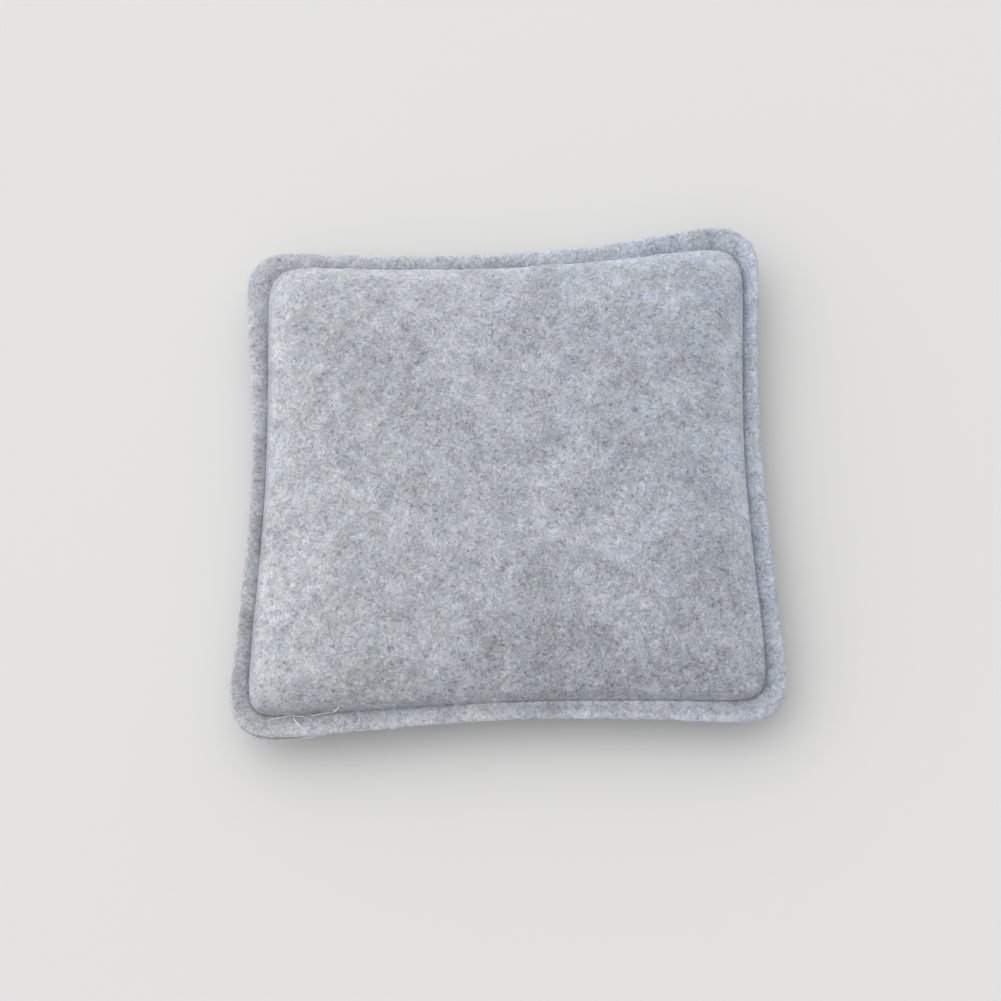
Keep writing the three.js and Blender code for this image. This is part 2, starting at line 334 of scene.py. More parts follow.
@dataclass(frozen=True)
class MarledFelt:
    """Needled felt of pale and dark wool: matt and cloudy, with short fibres that lie all ways."""

    dark: str = "#727376"
    mid: str = "#a9b0b8"
    pale: str = "#d9e1ea"
    # The felt is warm or cool in patches at random, and a painted tint of the light makes it warmer to the
    # front left and cooler towards the back right.
    warm: str = "#fff9f0"
    cool: str = "#f5f6ff"
    cast_size: float = 10 * MM
    cast_noise: float = 0.8
    painted_light_tint: Triple = (2.2, 0.55, 0.0)
    # Colour of the felt where the seam pulls it tight, darkened to paint the shade of the slit at the wall's
    # foot, and how much of it shows there.
    taut_and_shade: str = "#808296"
    taut_and_shade_share: float = 0.5
    # How the pattern is turned and where it starts on the flat felt.
    map_turn: float = 0.6
    map_shift: Triple = (0.137, 0.291, 0)
    # Wool fibres are about 0.03 mm thick, so these streaks of them are drawn coarser, to show.
    streak_length: float = 1.5 * MM
    streak_width: float = 0.56 * MM
    streak_turns: tuple[float, ...] = (8, 47, 84, 121, 158)
    streak_weight: float = 0.235
    # Size, detail and weight of the clouds, from mottling to the drift across the whole square.
    clouds: tuple[Triple, ...] = (
        (4.5 * MM, 3.0, 0.62), (15 * MM, 3.0, 0.45), (45 * MM, 1.0, 0.3),
    )
    fibres: tuple[CurledFibres, ...] = (
        CurledFibres(3.0 * MM, 0.65 * MM, 2.0 * MM, 0.47, -0.235, (-0.31, -0.07, 0)),
        CurledFibres(2.1 * MM, 0.6 * MM, 1.6 * MM, 0.49, -0.2, (-0.62, -0.24, 0)),
        CurledFibres(2.7 * MM, 0.6 * MM, 1.9 * MM, 0.45, 0.215, (-0.93, -0.41, 0)),
    )
    # What the tone gains on average to make up for the dark fibres.
    fibre_share: float = 0.095
    noise_roughness: float = 0.6
    nap_depth: float = 0.1 * MM
    nap_strength: float = 0.5
    roughness: float = 0.95
    specular: float = 0.15
    sheen: float = 0.35
    sheen_roughness: float = 0.5

    def lay(
        self, add: NodeMaker, flat: Node, length: float, width: float, detail: float,
        turn: float = 0.0, shift: Triple = (0, 0, 0),
    ) -> Node:
        """Lays noise on the flat felt.

        Args:
            add: Function that adds nodes to the material.
            flat: Place on the flat felt.
            length: Length of the noise's features.
            width: Width of the noise's features.
            detail: How many finer layers the noise has.
            turn: Degrees that the features are turned by.
            shift: Where the noise has its origin.

        Returns:
            The noise, 0.5 on average.
        """
        turned = (0, 0, math.radians(turn))
        mapped = add(
            "ShaderNodeMapping",
            {"Vector": flat, "Location": shift, "Rotation": turned, "Scale": (length, width, 1)},
            vector_type="TEXTURE",
        )
        return add(
            "ShaderNodeTexNoise",
            {"Vector": mapped, "Scale": 1.0, "Detail": detail, "Roughness": self.noise_roughness},
            noise_dimensions="2D",
        )

    def material(self) -> Material:
        """Builds the felt's material on its flat map, whose unit is the metre.

        Returns:
            The material.
        """
        material, add = new_material("marled needled felt")
        plain = add("ShaderNodeUVMap", uv_map=FLAT_MAP)
        turned = {"Vector": plain, "Rotation": (0, 0, self.map_turn), "Location": self.map_shift}
        lay = partial(self.lay, add, add("ShaderNodeMapping", turned))
        streaks = [
            (lay(self.streak_length, self.streak_width, detail=1.0, turn=turn), self.streak_weight)
            for turn in self.streak_turns
        ]
        clouds = [(lay(size, size, detail), weight) for size, detail, weight in self.clouds]
        curls = [(kind.shown(add, lay), kind.weight) for kind in self.fibres]
        # The taut felt's tint, darkened to paint the slit's shade, is read here with the points' painted
        # light and shade.
        shade, taut_and_shade = (
            add("ShaderNodeAttribute", attribute_name=name).outputs["Fac"] for name in (SHADE, TAUT_AND_SHADE)
        )
        start = 0.5 + self.fibre_share - sum(weight for _, weight in streaks + clouds) / 2
        tone = weighted(add, start, streaks + clouds + curls + [(shade, 1.0)])
        ramp = add("ShaderNodeValToRGB", {"Fac": tone})
        stops = ramp.color_ramp.elements
        stops[0].color, stops[1].color = linear(self.dark), linear(self.pale)
        stops.new(0.5).color = linear(self.mid)
        patches = lay(self.cast_size, self.cast_size, detail=2.0)
        # Painted tint of the light: warmer to the front left, cooler to the back right.
        drift = add("ShaderNodeVectorMath", {0: plain, 1: self.painted_light_tint}, operation="DOT_PRODUCT")
        even = (1 - self.cast_noise) / 2
        coolness = weighted(add, even, [(patches, self.cast_noise), (drift.outputs["Value"], 1.0)])
        cast = add(
            "ShaderNodeMix", {FACTOR: coolness, FIRST: linear(self.warm), SECOND: linear(self.cool)},
            data_type="RGBA",
        )
        tinted = add(
            "ShaderNodeMix", {FACTOR: 1.0, FIRST: ramp, SECOND: cast.outputs[MIXED]},
            data_type="RGBA", blend_type="MULTIPLY",
        )
        taut_and_shade_weight = add("ShaderNodeMath", {0: taut_and_shade, 1: self.taut_and_shade_share}, operation="MULTIPLY")
        colour = add(
            "ShaderNodeMix", {FACTOR: taut_and_shade_weight, FIRST: tinted.outputs[MIXED], SECOND: linear(self.taut_and_shade)},
            data_type="RGBA",
        )
        nap = weighted(add, 0.0, streaks)
        bump = add(
            "ShaderNodeBump", {"Height": nap, "Strength": self.nap_strength, "Distance": self.nap_depth}
        )
        return shaded(material, {
            "Base Color": colour.outputs[MIXED], "Normal": bump, "Roughness": self.roughness,
            "Specular IOR Level": self.specular, "Sheen Weight": self.sheen,
            "Sheen Roughness": self.sheen_roughness,
        })


@dataclass(frozen=True)
class LooseFibre:
    """Single wool fibres that stand off the felt: pale or dark, one tone to a fibre."""

    dark: str = "#a2a6ad"
    pale: str = "#f3f5f9"
    roughness: float = 0.8

    def material(self) -> Material:
        """Builds the fibres' material on the tone that each fibre carries.

        Returns:
            The material.
        """
        material, add = new_material("loose felt fibre")
        tone = add("ShaderNodeAttribute", attribute_name=TONE).outputs["Fac"]
        mix = add(
            "ShaderNodeMix", {FACTOR: tone, FIRST: linear(self.dark), SECOND: linear(self.pale)},
            data_type="RGBA",
        )
        return shaded(material, {"Base Color": mix.outputs[MIXED], "Roughness": self.roughness})


@dataclass(frozen=True)
class SewingThread:
    """Spun polyester sewing thread: cream white, with the slanting shade of its twist."""

    pale: str = "#f8f8f6"
    shade: str = "#dedcd8"
    twist_pitch: float = 0.9 * MM
    twist_depth: float = 0.45
    roughness: float = 0.6

    def material(self) -> Material:
        """Builds the thread's material on the length that runs along it.

        Returns:
            The material.
        """
        material, add = new_material("spun polyester sewing thread")
        along = add("ShaderNodeAttribute", attribute_name=ALONG).outputs["Fac"]
        turn = add("ShaderNodeMath", {0: along, 1: math.tau / self.twist_pitch}, operation="MULTIPLY")
        wave = add("ShaderNodeMath", {0: turn}, operation="SINE")
        depth = add("ShaderNodeMapRange", {"Value": wave, "From Min": -1.0, "To Max": self.twist_depth})
        mix = add(
            "ShaderNodeMix", {FACTOR: depth, FIRST: linear(self.pale), SECOND: linear(self.shade)},
            data_type="RGBA",
        )
        return shaded(material, {"Base Color": mix.outputs[MIXED], "Roughness": self.roughness})


@dataclass(frozen=True)
class PolyesterWadding:
    """Needled polyester wadding: off-white, soft, cloudy where its fibres lie thin."""

    pale: str = "#f0ece4"
    shade: str = "#d3cdc0"
    cloud_size: float = 9 * MM
    cloud_detail: float = 6.0
    relief: float = 0.5 * MM
    relief_strength: float = 0.5
    roughness: float = 1.0

    def material(self) -> Material:
        """Builds the wadding's material on Object coordinates.

        Returns:
            The material.
        """
        material, add = new_material("polyester wadding")
        place = add("ShaderNodeTexCoord").outputs["Object"]
        size = 1 / self.cloud_size
        cloud = add("ShaderNodeTexNoise", {"Vector": place, "Scale": size, "Detail": self.cloud_detail})
        mix = add(
            "ShaderNodeMix", {FACTOR: cloud, FIRST: linear(self.pale), SECOND: linear(self.shade)},
            data_type="RGBA",
        )
        bump = add(
            "ShaderNodeBump", {"Height": cloud, "Strength": self.relief_strength, "Distance": self.relief}
        )
        colour = mix.outputs[MIXED]
        return shaded(material, {"Base Color": colour, "Normal": bump, "Roughness": self.roughness})


# Plan and section of the pad


@dataclass
class PadOutline:
    """Plan of the pad: closed rings that follow the cut edge, the seam and the filled top.

    What is given by corner starts at the front left and goes round by the front right; what is given
    by side starts at the front.
    """

    width: float = 200 * MM
    depth: float = 200 * MM
    edge_radii: tuple[float, ...] = (15 * MM, 13 * MM, 16 * MM, 13 * MM)
    seam_radii: tuple[float, ...] = (8 * MM, 8 * MM, 12 * MM, 10 * MM)
    seam_insets: tuple[float, float] = (8.2 * MM, 9.2 * MM)
    # How far the middle of each side is drawn in, and how soon that fades towards the pad's middle.
    edge_draws: tuple[float, ...] = (3.9 * MM, 3.6 * MM, 5.6 * MM, 4.8 * MM)
    seam_draws: tuple[float, ...] = (1.9 * MM, 3.0 * MM, 3.1 * MM, 1.9 * MM)
    draw_fade: float = 25 * MM
    shoulder_rounding: float = 0.6
    corner_signs: tuple[tuple[int, int], ...] = ((-1, -1), (1, -1), (1, 1), (-1, 1))
    # How far each corner stands out of the true square, sideways and endways.
    edge_outs: tuple[tuple[float, float], ...] = (
        (2.5 * MM, 1 * MM), (0.5 * MM, -2 * MM), (0.4 * MM, 3.3 * MM), (-2.1 * MM, -4.2 * MM),
    )
    seam_outs: tuple[tuple[float, float], ...] = (
        (3.4 * MM, 1.2 * MM), (0.6 * MM, -1 * MM), (1.9 * MM, 2.2 * MM), (-3 * MM, -3 * MM),
    )
    side_stations: tuple[float, ...] = (0.25, 0.375, 0.5, 0.625, 0.75)
    arc_stations: tuple[float, ...] = (0, 30, 60, 90)
    core: float = 28 * MM
    steps_to_a_span: int = 30
    box_steps: int = 2000
    centre: np.ndarray = field(default_factory=lambda: np.zeros(2))
    rings: dict[float, tuple[np.ndarray, np.ndarray]] = field(default_factory=dict)

    def __post_init__(self) -> None:
        """Moves the middle of the cut edge's box to the origin."""
        edge = self.ring(-self.margin, np.linspace(0, 1, self.box_steps))
        self.centre = (edge.min(axis=0) + edge.max(axis=0)) / 2

    @property
    def margin(self) -> float:
        """Width of the margin outside the seam."""
        return min(self.seam_insets)

    @property
    def middle(self) -> float:
        """How far inside the seam the middle of the pad lies."""
        return min(self.width / 2 - self.seam_insets[0], self.depth / 2 - self.seam_insets[1])

    @property
    def stitch_count(self) -> int:
        """How many stitches go once round the seam."""
        return round(self.ring_length(0.0) / STITCH)

    def turning_points(self, inside: float) -> np.ndarray:
        """Points that a ring passes through, anticlockwise from the middle of the front.

        Args:
            inside: How far inside the seam line the ring lies, negative outside it.

        Returns:
            The points, one to a row.
        """
        share, within = min(1 + inside / self.margin, 1), max(inside, 0)
        radii, draws, outs = (
            np.array(edge) * (1 - share) + np.array(seam) * share
            for edge, seam in (
                (self.edge_radii, self.seam_radii),
                (self.edge_draws, self.seam_draws),
                (self.edge_outs, self.seam_outs),
            )
        )
        radii += self.shoulder_rounding * within
        draws *= math.exp(-within / self.draw_fade)
        half = np.array((self.width, self.depth)) / 2 - np.array(self.seam_insets) * share - within
        corners = np.array(self.corner_signs) * (half + outs)
        points = []
        for index, corner in enumerate(corners):
            ahead, behind = corners[(index + 1) % 4] - corner, corners[index - 1] - corner
            to_ahead, to_behind = (radii[index] * run / np.linalg.norm(run) for run in (ahead, behind))
            for angle in np.radians(self.arc_stations):
                points.append(corner + to_behind * (1 - math.sin(angle)) + to_ahead * (1 - math.cos(angle)))
            inward = np.array((-ahead[1], ahead[0])) / np.linalg.norm(ahead)
            for station in self.side_stations:
                drawn = draws[index] * math.sin(math.pi * station) ** 2
                points.append(corner + ahead * station + inward * drawn)
        before_middle = len(self.arc_stations) + self.side_stations.index(0.5)
        return np.roll(np.array(points), -before_middle, axis=0)

    def smooth_ring(self, inside: float) -> tuple[np.ndarray, np.ndarray]:
        """A ring as a fine closed line, by centripetal curves through its turning points.

        Args:
            inside: How far inside the seam line the ring lies.

        Returns:
            The length up to each point of the line, and the points.
        """
        if inside not in self.rings:
            here = self.turning_points(inside)
            last, ahead, beyond = (np.roll(here, step, axis=0) for step in (1, -1, -2))
            first, middle, end = (
                np.sqrt(np.linalg.norm(b - a, axis=1))[:, None]
                for a, b in ((last, here), (here, ahead), (ahead, beyond))
            )
            slope = (ahead - here) / middle
            leave = middle * ((here - last) / first - (ahead - last) / (first + middle) + slope)
            arrive = middle * (slope - (beyond - here) / (middle + end) + (beyond - ahead) / end)
            share = (np.arange(self.steps_to_a_span) / self.steps_to_a_span)[None, :, None]
            line = (
                here[:, None] * (1 + 2 * share) * (1 - share) ** 2
                + leave[:, None] * share * (1 - share) ** 2
                + ahead[:, None] * share ** 2 * (3 - 2 * share)
                + arrive[:, None] * share ** 2 * (share - 1)
            ).reshape(-1, 2)
            line = np.vstack((line, line[:1]))
            steps = np.linalg.norm(np.diff(line, axis=0), axis=1)
            self.rings[inside] = np.concatenate(([0.0], np.cumsum(steps))), line
        return self.rings[inside]

    def ring(self, inside: float, shares: np.ndarray) -> np.ndarray:
        """Points on a ring at shares of its length from the middle of the front.

        Args:
            inside: How far inside the seam line the ring lies. Past the core, rings shrink evenly.
            shares: Shares of the way round, 0 to 1.

        Returns:
            The points, one to a row.
        """
        lengths, line = self.smooth_ring(min(inside, self.core))
        places = (np.asarray(shares) % 1.0) * lengths[-1]
        points = np.column_stack([np.interp(places, lengths, line[:, axis]) for axis in (0, 1)])
        shrink = min(1.0, (self.middle - inside) / (self.middle - self.core))
        return (points - self.centre) * shrink

    def ring_length(self, inside: float) -> float:
        """Length of a ring."""
        return float(self.smooth_ring(inside)[0][-1])


@dataclass
class PadSection:
    """Section of one half of the pad, as heights from the plane where the two panels meet."""

    face: Face
    seam_height: float = 13 * MM
    felt: float = 2.5 * MM
    sewn_felt: float = 0.7 * MM
    shoulder: float = 12.2 * MM
    crown: float = 2.0 * MM
    crown_reach: float = 75 * MM
    shoulder_reach: float = 35 * MM
    fullness: float = 2.05
    foot: float = 0.15 * MM
    widest: float = 4.2 * MM
    overhang: float = 0.5 * MM
    rest_cut: float = 0.4 * MM
    panel_gap: float = 0.02 * MM
    full_felt_from_seam: float = 3 * MM
    # Millimetres out from the seam, with the share of the felt's rise back to its full thickness.
    valley: tuple[tuple[float, float], ...] = (
        (0.15, 0.0), (0.4, 0.12), (0.8, 0.28), (1.3, 0.45), (1.9, 0.6), (2.6, 0.74), (3.4, 0.86),
        (4.3, 0.95), (5.3, 1.0),
    )
    # Shares of the margin's width, with millimetres down from its outer face.
    rim: tuple[tuple[float, float], ...] = ((0.8, 0.06), (0.88, 0.22), (0.94, 0.5), (0.98, 0.85), (1.0, 1.1))
    cut: tuple[tuple[float, float], ...] = ((1.008, 1.4), (1.006, 1.8), (0.995, 2.15), (0.97, 2.4))
    even_stations: float = 0.4
    fine_steps: int = 4000
    foot_steps: int = 400
    lining_rings: int = 200

    def level(self, height: np.ndarray | float) -> np.ndarray | float:
        """Height above the table of a height from the plane where the panels meet."""
        return self.seam_height + self.face.value * height

    def dome(self, inside: np.ndarray) -> np.ndarray:
        """Height of the outer face over the filling, above the side's widest place.

        Args:
            inside: Distances inside the seam line.

        Returns:
            Heights from the plane where the panels meet.
        """
        reach = self.shoulder_reach + self.overhang
        rest = 1 - np.clip((inside + self.overhang) / reach, 0, 1)
        bulge = (1 - rest ** self.fullness) ** (1 / self.fullness)
        if self.face is Face.TOP:
            crown = self.crown * (1 - (1 - np.clip(inside / self.crown_reach, 0, 1)) ** 2)
            return self.widest + (self.shoulder - self.widest) * bulge + crown
        swell = self.widest + (self.seam_height + self.rest_cut - self.widest) * bulge
        return np.minimum(swell, self.seam_height)

    def dome_line(self, middle: float) -> np.ndarray:
        """The outer face over the filling as a fine line from the pad's middle to the seam.

        Args:
            middle: Distance inside the seam of the pad's middle.

        Returns:
            Distance inside the seam and height, one point to a row.
        """
        inside = -self.overhang + (middle + self.overhang) * np.linspace(1, 0, self.fine_steps) ** 3
        upper = np.column_stack((inside, self.dome(inside)))
        turn = np.linspace(0, math.pi / 2, self.foot_steps)[1:]
        tucked = -self.overhang + (self.overhang + self.foot) * (1 - np.cos(turn))
        height = self.widest + (self.sewn_felt - self.widest) * np.sin(turn)
        return np.vstack((upper, np.column_stack((tucked, height))))

    def dome_stations(self, middle: float, rings: int) -> tuple[np.ndarray, np.ndarray, np.ndarray]:
        """Stations from the middle of the pad to the seam, closer together near the seam.

        Args:
            middle: Distance inside the seam of the pad's middle.
            rings: How many rings there are between the two.

        Returns:
            Distances inside the seam, heights, and lengths along the felt from the middle.
        """
        line = self.dome_line(middle)
        lengths = np.concatenate(([0.0], np.cumsum(np.hypot(*np.diff(line, axis=0).T))))
        from_seam = np.linspace(1, 0, rings + 1)
        spread = self.even_stations * from_seam + (1 - self.even_stations) * from_seam ** 2
        wanted = lengths[-1] * (1 - spread)
        return np.interp(wanted, lengths, line[:, 0]), np.interp(wanted, lengths, line[:, 1]), wanted

    def margin_line(self, margin: float) -> np.ndarray:
        """Turning points of the margin's outer face from the sewn slit to the cut edge.

        Args:
            margin: Width of the margin.

        Returns:
            Distance inside the seam and height, one point to a row.
        """
        rise = self.felt - self.sewn_felt
        valley = [(-out * MM, self.sewn_felt + share * rise) for out, share in self.valley]
        return np.array(valley + [(-share * margin, self.felt - drop * MM) for share, drop in self.rim])

    def cut_line(self, margin: float) -> np.ndarray:
        """Points down the cut edge, from below the margin's outer face to above its inner one."""
        return np.array([(-share * margin, self.felt - drop * MM) for share, drop in self.cut])

    def outer_line(self, outline: PadOutline, rings: int) -> tuple[np.ndarray, np.ndarray]:
        """The whole outer face in section, from the middle of the pad to the cut edge.

        Args:
            outline: Plan of the pad.
            rings: Rings between the middle and the seam.

        Returns:
            Distance inside the seam and height, one point to a row, and lengths along the felt.
        """
        inside, height, lengths = self.dome_stations(outline.middle, rings)
        line = np.vstack((np.column_stack((inside, height)), self.margin_line(outline.margin)))
        steps = np.hypot(*np.diff(line[rings:], axis=0).T)
        return line, np.concatenate((lengths, lengths[-1] + np.cumsum(steps)))

    def inner_line(self, line: np.ndarray, rings: int) -> np.ndarray:
        """The inner face in section: the felt's thickness inside the outer face.

        Args:
            line: The outer face in section.
            rings: Rings between the middle and the seam.

        Returns:
            Distance inside the seam and height, one point to a row.
        """
        run = np.gradient(line, axis=0)
        outwards = np.column_stack((run[:, 1], np.maximum(-run[:, 0], 0)))
        outwards /= np.linalg.norm(outwards, axis=1)[:, None] + TINY
        steps = np.hypot(*np.diff(line[:rings + 1], axis=0).T)
        from_seam = np.concatenate((np.cumsum(steps[::-1])[::-1], np.zeros(len(line) - rings)))
        thickness = np.interp(from_seam, (0, self.full_felt_from_seam), (self.sewn_felt, self.felt))
        inner = line - outwards * thickness[:, None]
        inner[rings:, 0] = line[rings:, 0]
        inner[rings:, 1] = self.panel_gap
        inner[:, 1] = np.maximum(inner[:, 1], self.panel_gap)
        return inner

    def lining(self, inside: np.ndarray, outline: PadOutline) -> np.ndarray:
        """Height of the felt's inner face over the filling.

        Args:
            inside: Distances inside the seam.
            outline: Plan of the pad.

        Returns:
            Heights from the plane where the panels meet.
        """
        line, _ = self.outer_line(outline, self.lining_rings)
        inner = self.inner_line(line, self.lining_rings)[:self.lining_rings + 1]
        order = np.argsort(inner[:, 0])
        return np.interp(inside, inner[order, 0], inner[order, 1])


# Lattices and soft shapes


def ring_walk(ring: int) -> tuple[np.ndarray, np.ndarray]:
    """Places on a square lattice of one ring round its middle, anticlockwise from the front's middle.

    Args:
        ring: How many steps the ring lies from the middle.

    Returns:
        Columns and rows, each counted from the middle.
    """
    out = np.arange(-ring, ring + 1)
    whole = np.full(2 * ring, ring)
    columns = np.concatenate((np.arange(0, ring + 1), whole, out[::-1][1:], -whole, np.arange(1 - ring, 0)))
    rows = np.concatenate((np.full(ring + 1, -ring), out[1:], whole, out[::-1][1:], np.full(ring - 1, -ring)))
    return columns, rows


def lattice_rings(rings: int) -> Iterator[tuple[int, tuple[np.ndarray, np.ndarray], np.ndarray]]:
    """Goes through a square lattice's rings from the middle outwards.

    Args:
        rings: How many rings the lattice has round its middle.

    Yields:
        The ring's number, the rows and columns of its places, and their shares of the way round.
    """
    for ring in range(1, rings + 1):
        columns, rows = ring_walk(ring)
        yield ring, (rows + rings, columns + rings), np.arange(len(rows)) / len(rows)


def lattice_faces(size: int) -> np.ndarray:
    """Corner numbers of a square lattice's faces, anticlockwise from above."""
    corner = (np.arange(size - 1)[:, None] * size + np.arange(size - 1)[None, :]).reshape(-1)
    return np.column_stack((corner, corner + 1, corner + size + 1, corner + size))


def raised_lattice(outline: PadOutline, stations: np.ndarray, levels: np.ndarray) -> np.ndarray:
    """A square lattice whose rings follow the pad's outline.

    Args:
        outline: Plan of the pad.
        stations: How far inside the seam each ring lies, from the middle outwards.
        levels: Height of each ring above the table.

    Returns:
        Points by row and column.
    """
    rings = len(stations) - 1
    points = np.zeros((2 * rings + 1, 2 * rings + 1, 3))
    points[rings, rings, 2] = levels[0]
    for ring, where, shares in lattice_rings(rings):
        points[where] = np.insert(outline.ring(stations[ring], shares), 2, levels[ring], axis=1)
    return points


def joined_lattices(upper: np.ndarray, lower: np.ndarray) -> tuple[np.ndarray, np.ndarray, np.ndarray]:
    """Joins two lattices at their borders into one closed surface.

    Args:
        upper: Points of the upper lattice, by row and column.
        lower: Points of the lower lattice, whose border takes the upper one's place.

    Returns:
        The points, the faces, and the number of the point at each place of the two lattices.
    """
    size = len(upper)
    numbers = np.arange(2 * size * size).reshape(2, size, size)
    border = np.ones((size, size), dtype=bool)
    border[1:-1, 1:-1] = False
    numbers[1][border] = numbers[0][border]
    kept, places = np.unique(numbers, return_inverse=True)
    places = places.reshape(2, size, size)
    points = np.vstack((upper.reshape(-1, 3), lower.reshape(-1, 3)))[kept]
    faces = lattice_faces(size)
    both = np.vstack((faces, faces[:, ::-1] + size * size))
    return points, places.reshape(-1)[both], places


def smoothed(lattice: np.ndarray, passes: int) -> np.ndarray:
    """Evens out a lattice's values, apart from its border.

    Args:
        lattice: Values by row and column.
        passes: How often they are evened out.

    Returns:
        The evened values.
    """
    result = lattice.copy()
    for _ in range(passes):
        around = result[:-2, 1:-1] + result[2:, 1:-1] + result[1:-1, :-2] + result[1:-1, 2:]
        result[1:-1, 1:-1] = result[1:-1, 1:-1] / 2 + around / 8
    return result


def spread_lattice(lattice: np.ndarray, size: int) -> np.ndarray:
    """Spreads a coarse lattice's values over a finer lattice.

    Args:
        lattice: Values by row and column.
        size: Rows and columns of the finer lattice.

    Returns:
        Values of the finer lattice.
    """
    places = np.linspace(0, len(lattice) - 1, size)
    low = np.minimum(places.astype(int), len(lattice) - 2)
    part = (places - low)[:, None, None]
    rows = lattice[low] * (1 - part) + lattice[low + 1] * part
    part = part.reshape(1, -1, 1)
    return rows[:, low] * (1 - part) + rows[:, low + 1] * part


def noise_at(places: np.ndarray, size: float, seed: float) -> np.ndarray:
    """Smooth noise with features of one size, from about -1 to 1, at points one to a row."""
    return np.array([noise.noise((x + seed, y - seed, z + 2 * seed)) for x, y, z in places / size])


def fading(distance: np.ndarray | float, reach: float) -> np.ndarray | float:
    """A share that is 1 at no distance and fades out past its reach."""
    return np.exp(-((distance / reach) ** 2))


def ripple(shares: np.ndarray, waves: tuple[Triple, ...]) -> np.ndarray:
    """Adds up waves round the pad, each given as its count, phase and height."""
    return sum(height * np.sin(count * math.tau * shares + phase) for count, phase, height in waves)


def stretch(shares: np.ndarray, middle: float, full: float = 0.0684, end: float = 0.1749) -> np.ndarray:
    """How far places round the pad belong to one stretch of it, which is a whole side unless given.

    Args:
        shares: Shares of the way round.
        middle: Share at the stretch's middle.
        full: How far from the middle places belong to it wholly.
        end: How far from the middle it ends.

    Returns:
        Numbers from 0 to 1.
    """
    near, far = math.cos(math.tau * full), math.cos(math.tau * end)
    return np.clip((np.cos(math.tau * (shares - middle)) - far) / (near - far), 0, 1)


@dataclass
class StuffedCover:
    """The felt's two filled parts as one bag, sewn fast at the seam and swollen by its filling."""

    outline: PadOutline
    rings: int = 26
    slack: float = 0.92
    growth: float = 0.015
    pressure: float = 4.0
    stretch_stiffness: float = 20.0
    shear_stiffness: float = 10.0
    bending_stiffness: float = 5.0
    quality: int = 6
    frames: int = 20
    evening_passes: int = 2
    most: float = 1.2 * MM

    def lattice(self, face: Face, share: float) -> np.ndarray:
        """The filled part of one panel's outer face.

        Args:
            face: The panel's face.
            share: Share of its full height that the dome has.

        Returns:
            Points by row and column.
        """
        section = PadSection(face)
        inside, height, _ = section.dome_stations(self.outline.middle, self.rings)
        level = section.level(section.sewn_felt + share * (height - section.sewn_felt))
        return raised_lattice(self.outline, inside, level)

    def simulate(self) -> dict[Face, np.ndarray]:
        """Runs a cloth simulation of the bag under pressure.

        Returns:
            For each panel a lattice of moves away from its drawn shape, nought at the seam.
        """
        drawn, slack = ([self.lattice(face, share) for face in Face] for share in (1.0, self.slack))
        points, faces, places = joined_lattices(*slack)
        scene = bpy.context.scene
        bag = new_piece("bag", new_mesh("bag", points, [], faces))
        seam = bag.vertex_groups.new(name="seam")
        border = np.concatenate((places[0][[0, -1]].ravel(), places[0][:, [0, -1]].ravel()))
        seam.add(np.unique(border).tolist(), 1.0, "REPLACE")
        cloth = bag.modifiers.new("cloth", "CLOTH")
        settings = cloth.settings
        settings.vertex_group_mass = seam.name
        settings.quality = self.quality
        settings.tension_stiffness = settings.compression_stiffness = self.stretch_stiffness
        settings.shear_stiffness = self.shear_stiffness
        settings.bending_stiffness = self.bending_stiffness
        settings.shrink_min = settings.shrink_max = -self.growth
        settings.use_pressure = True
        settings.uniform_pressure_force = self.pressure
        settings.effector_weights.gravity = 0.0
        cloth.collision_settings.use_collision = False
        cloth.point_cache.frame_end = self.frames
        for step in range(1, self.frames + 1):
            scene.frame_set(step)
        evaluated = bag.evaluated_get(bpy.context.evaluated_depsgraph_get())
        swollen = np.array([vertex.co for vertex in evaluated.data.vertices])
        bpy.data.objects.remove(bag)
        scene.frame_set(1)
        moves = [swollen[layer] - lattice for layer, lattice in zip(places, drawn)]
        return {face: self.eased(panel_moves) for face, panel_moves in zip(Face, moves)}

    def eased(self, moves: np.ndarray) -> np.ndarray:
        """Evens out a panel's moves and scales them down to the most that the filling gives.

        Args:
            moves: Moves by row and column.

        Returns:
            The moves that the panel is given.
        """
        even = smoothed(moves, self.evening_passes)
        longest = np.linalg.norm(even, axis=2).max()
        LOG.info("the bag swells by up to %.1f mm", longest / MM)
        return even * min(1.0, self.most / longest)


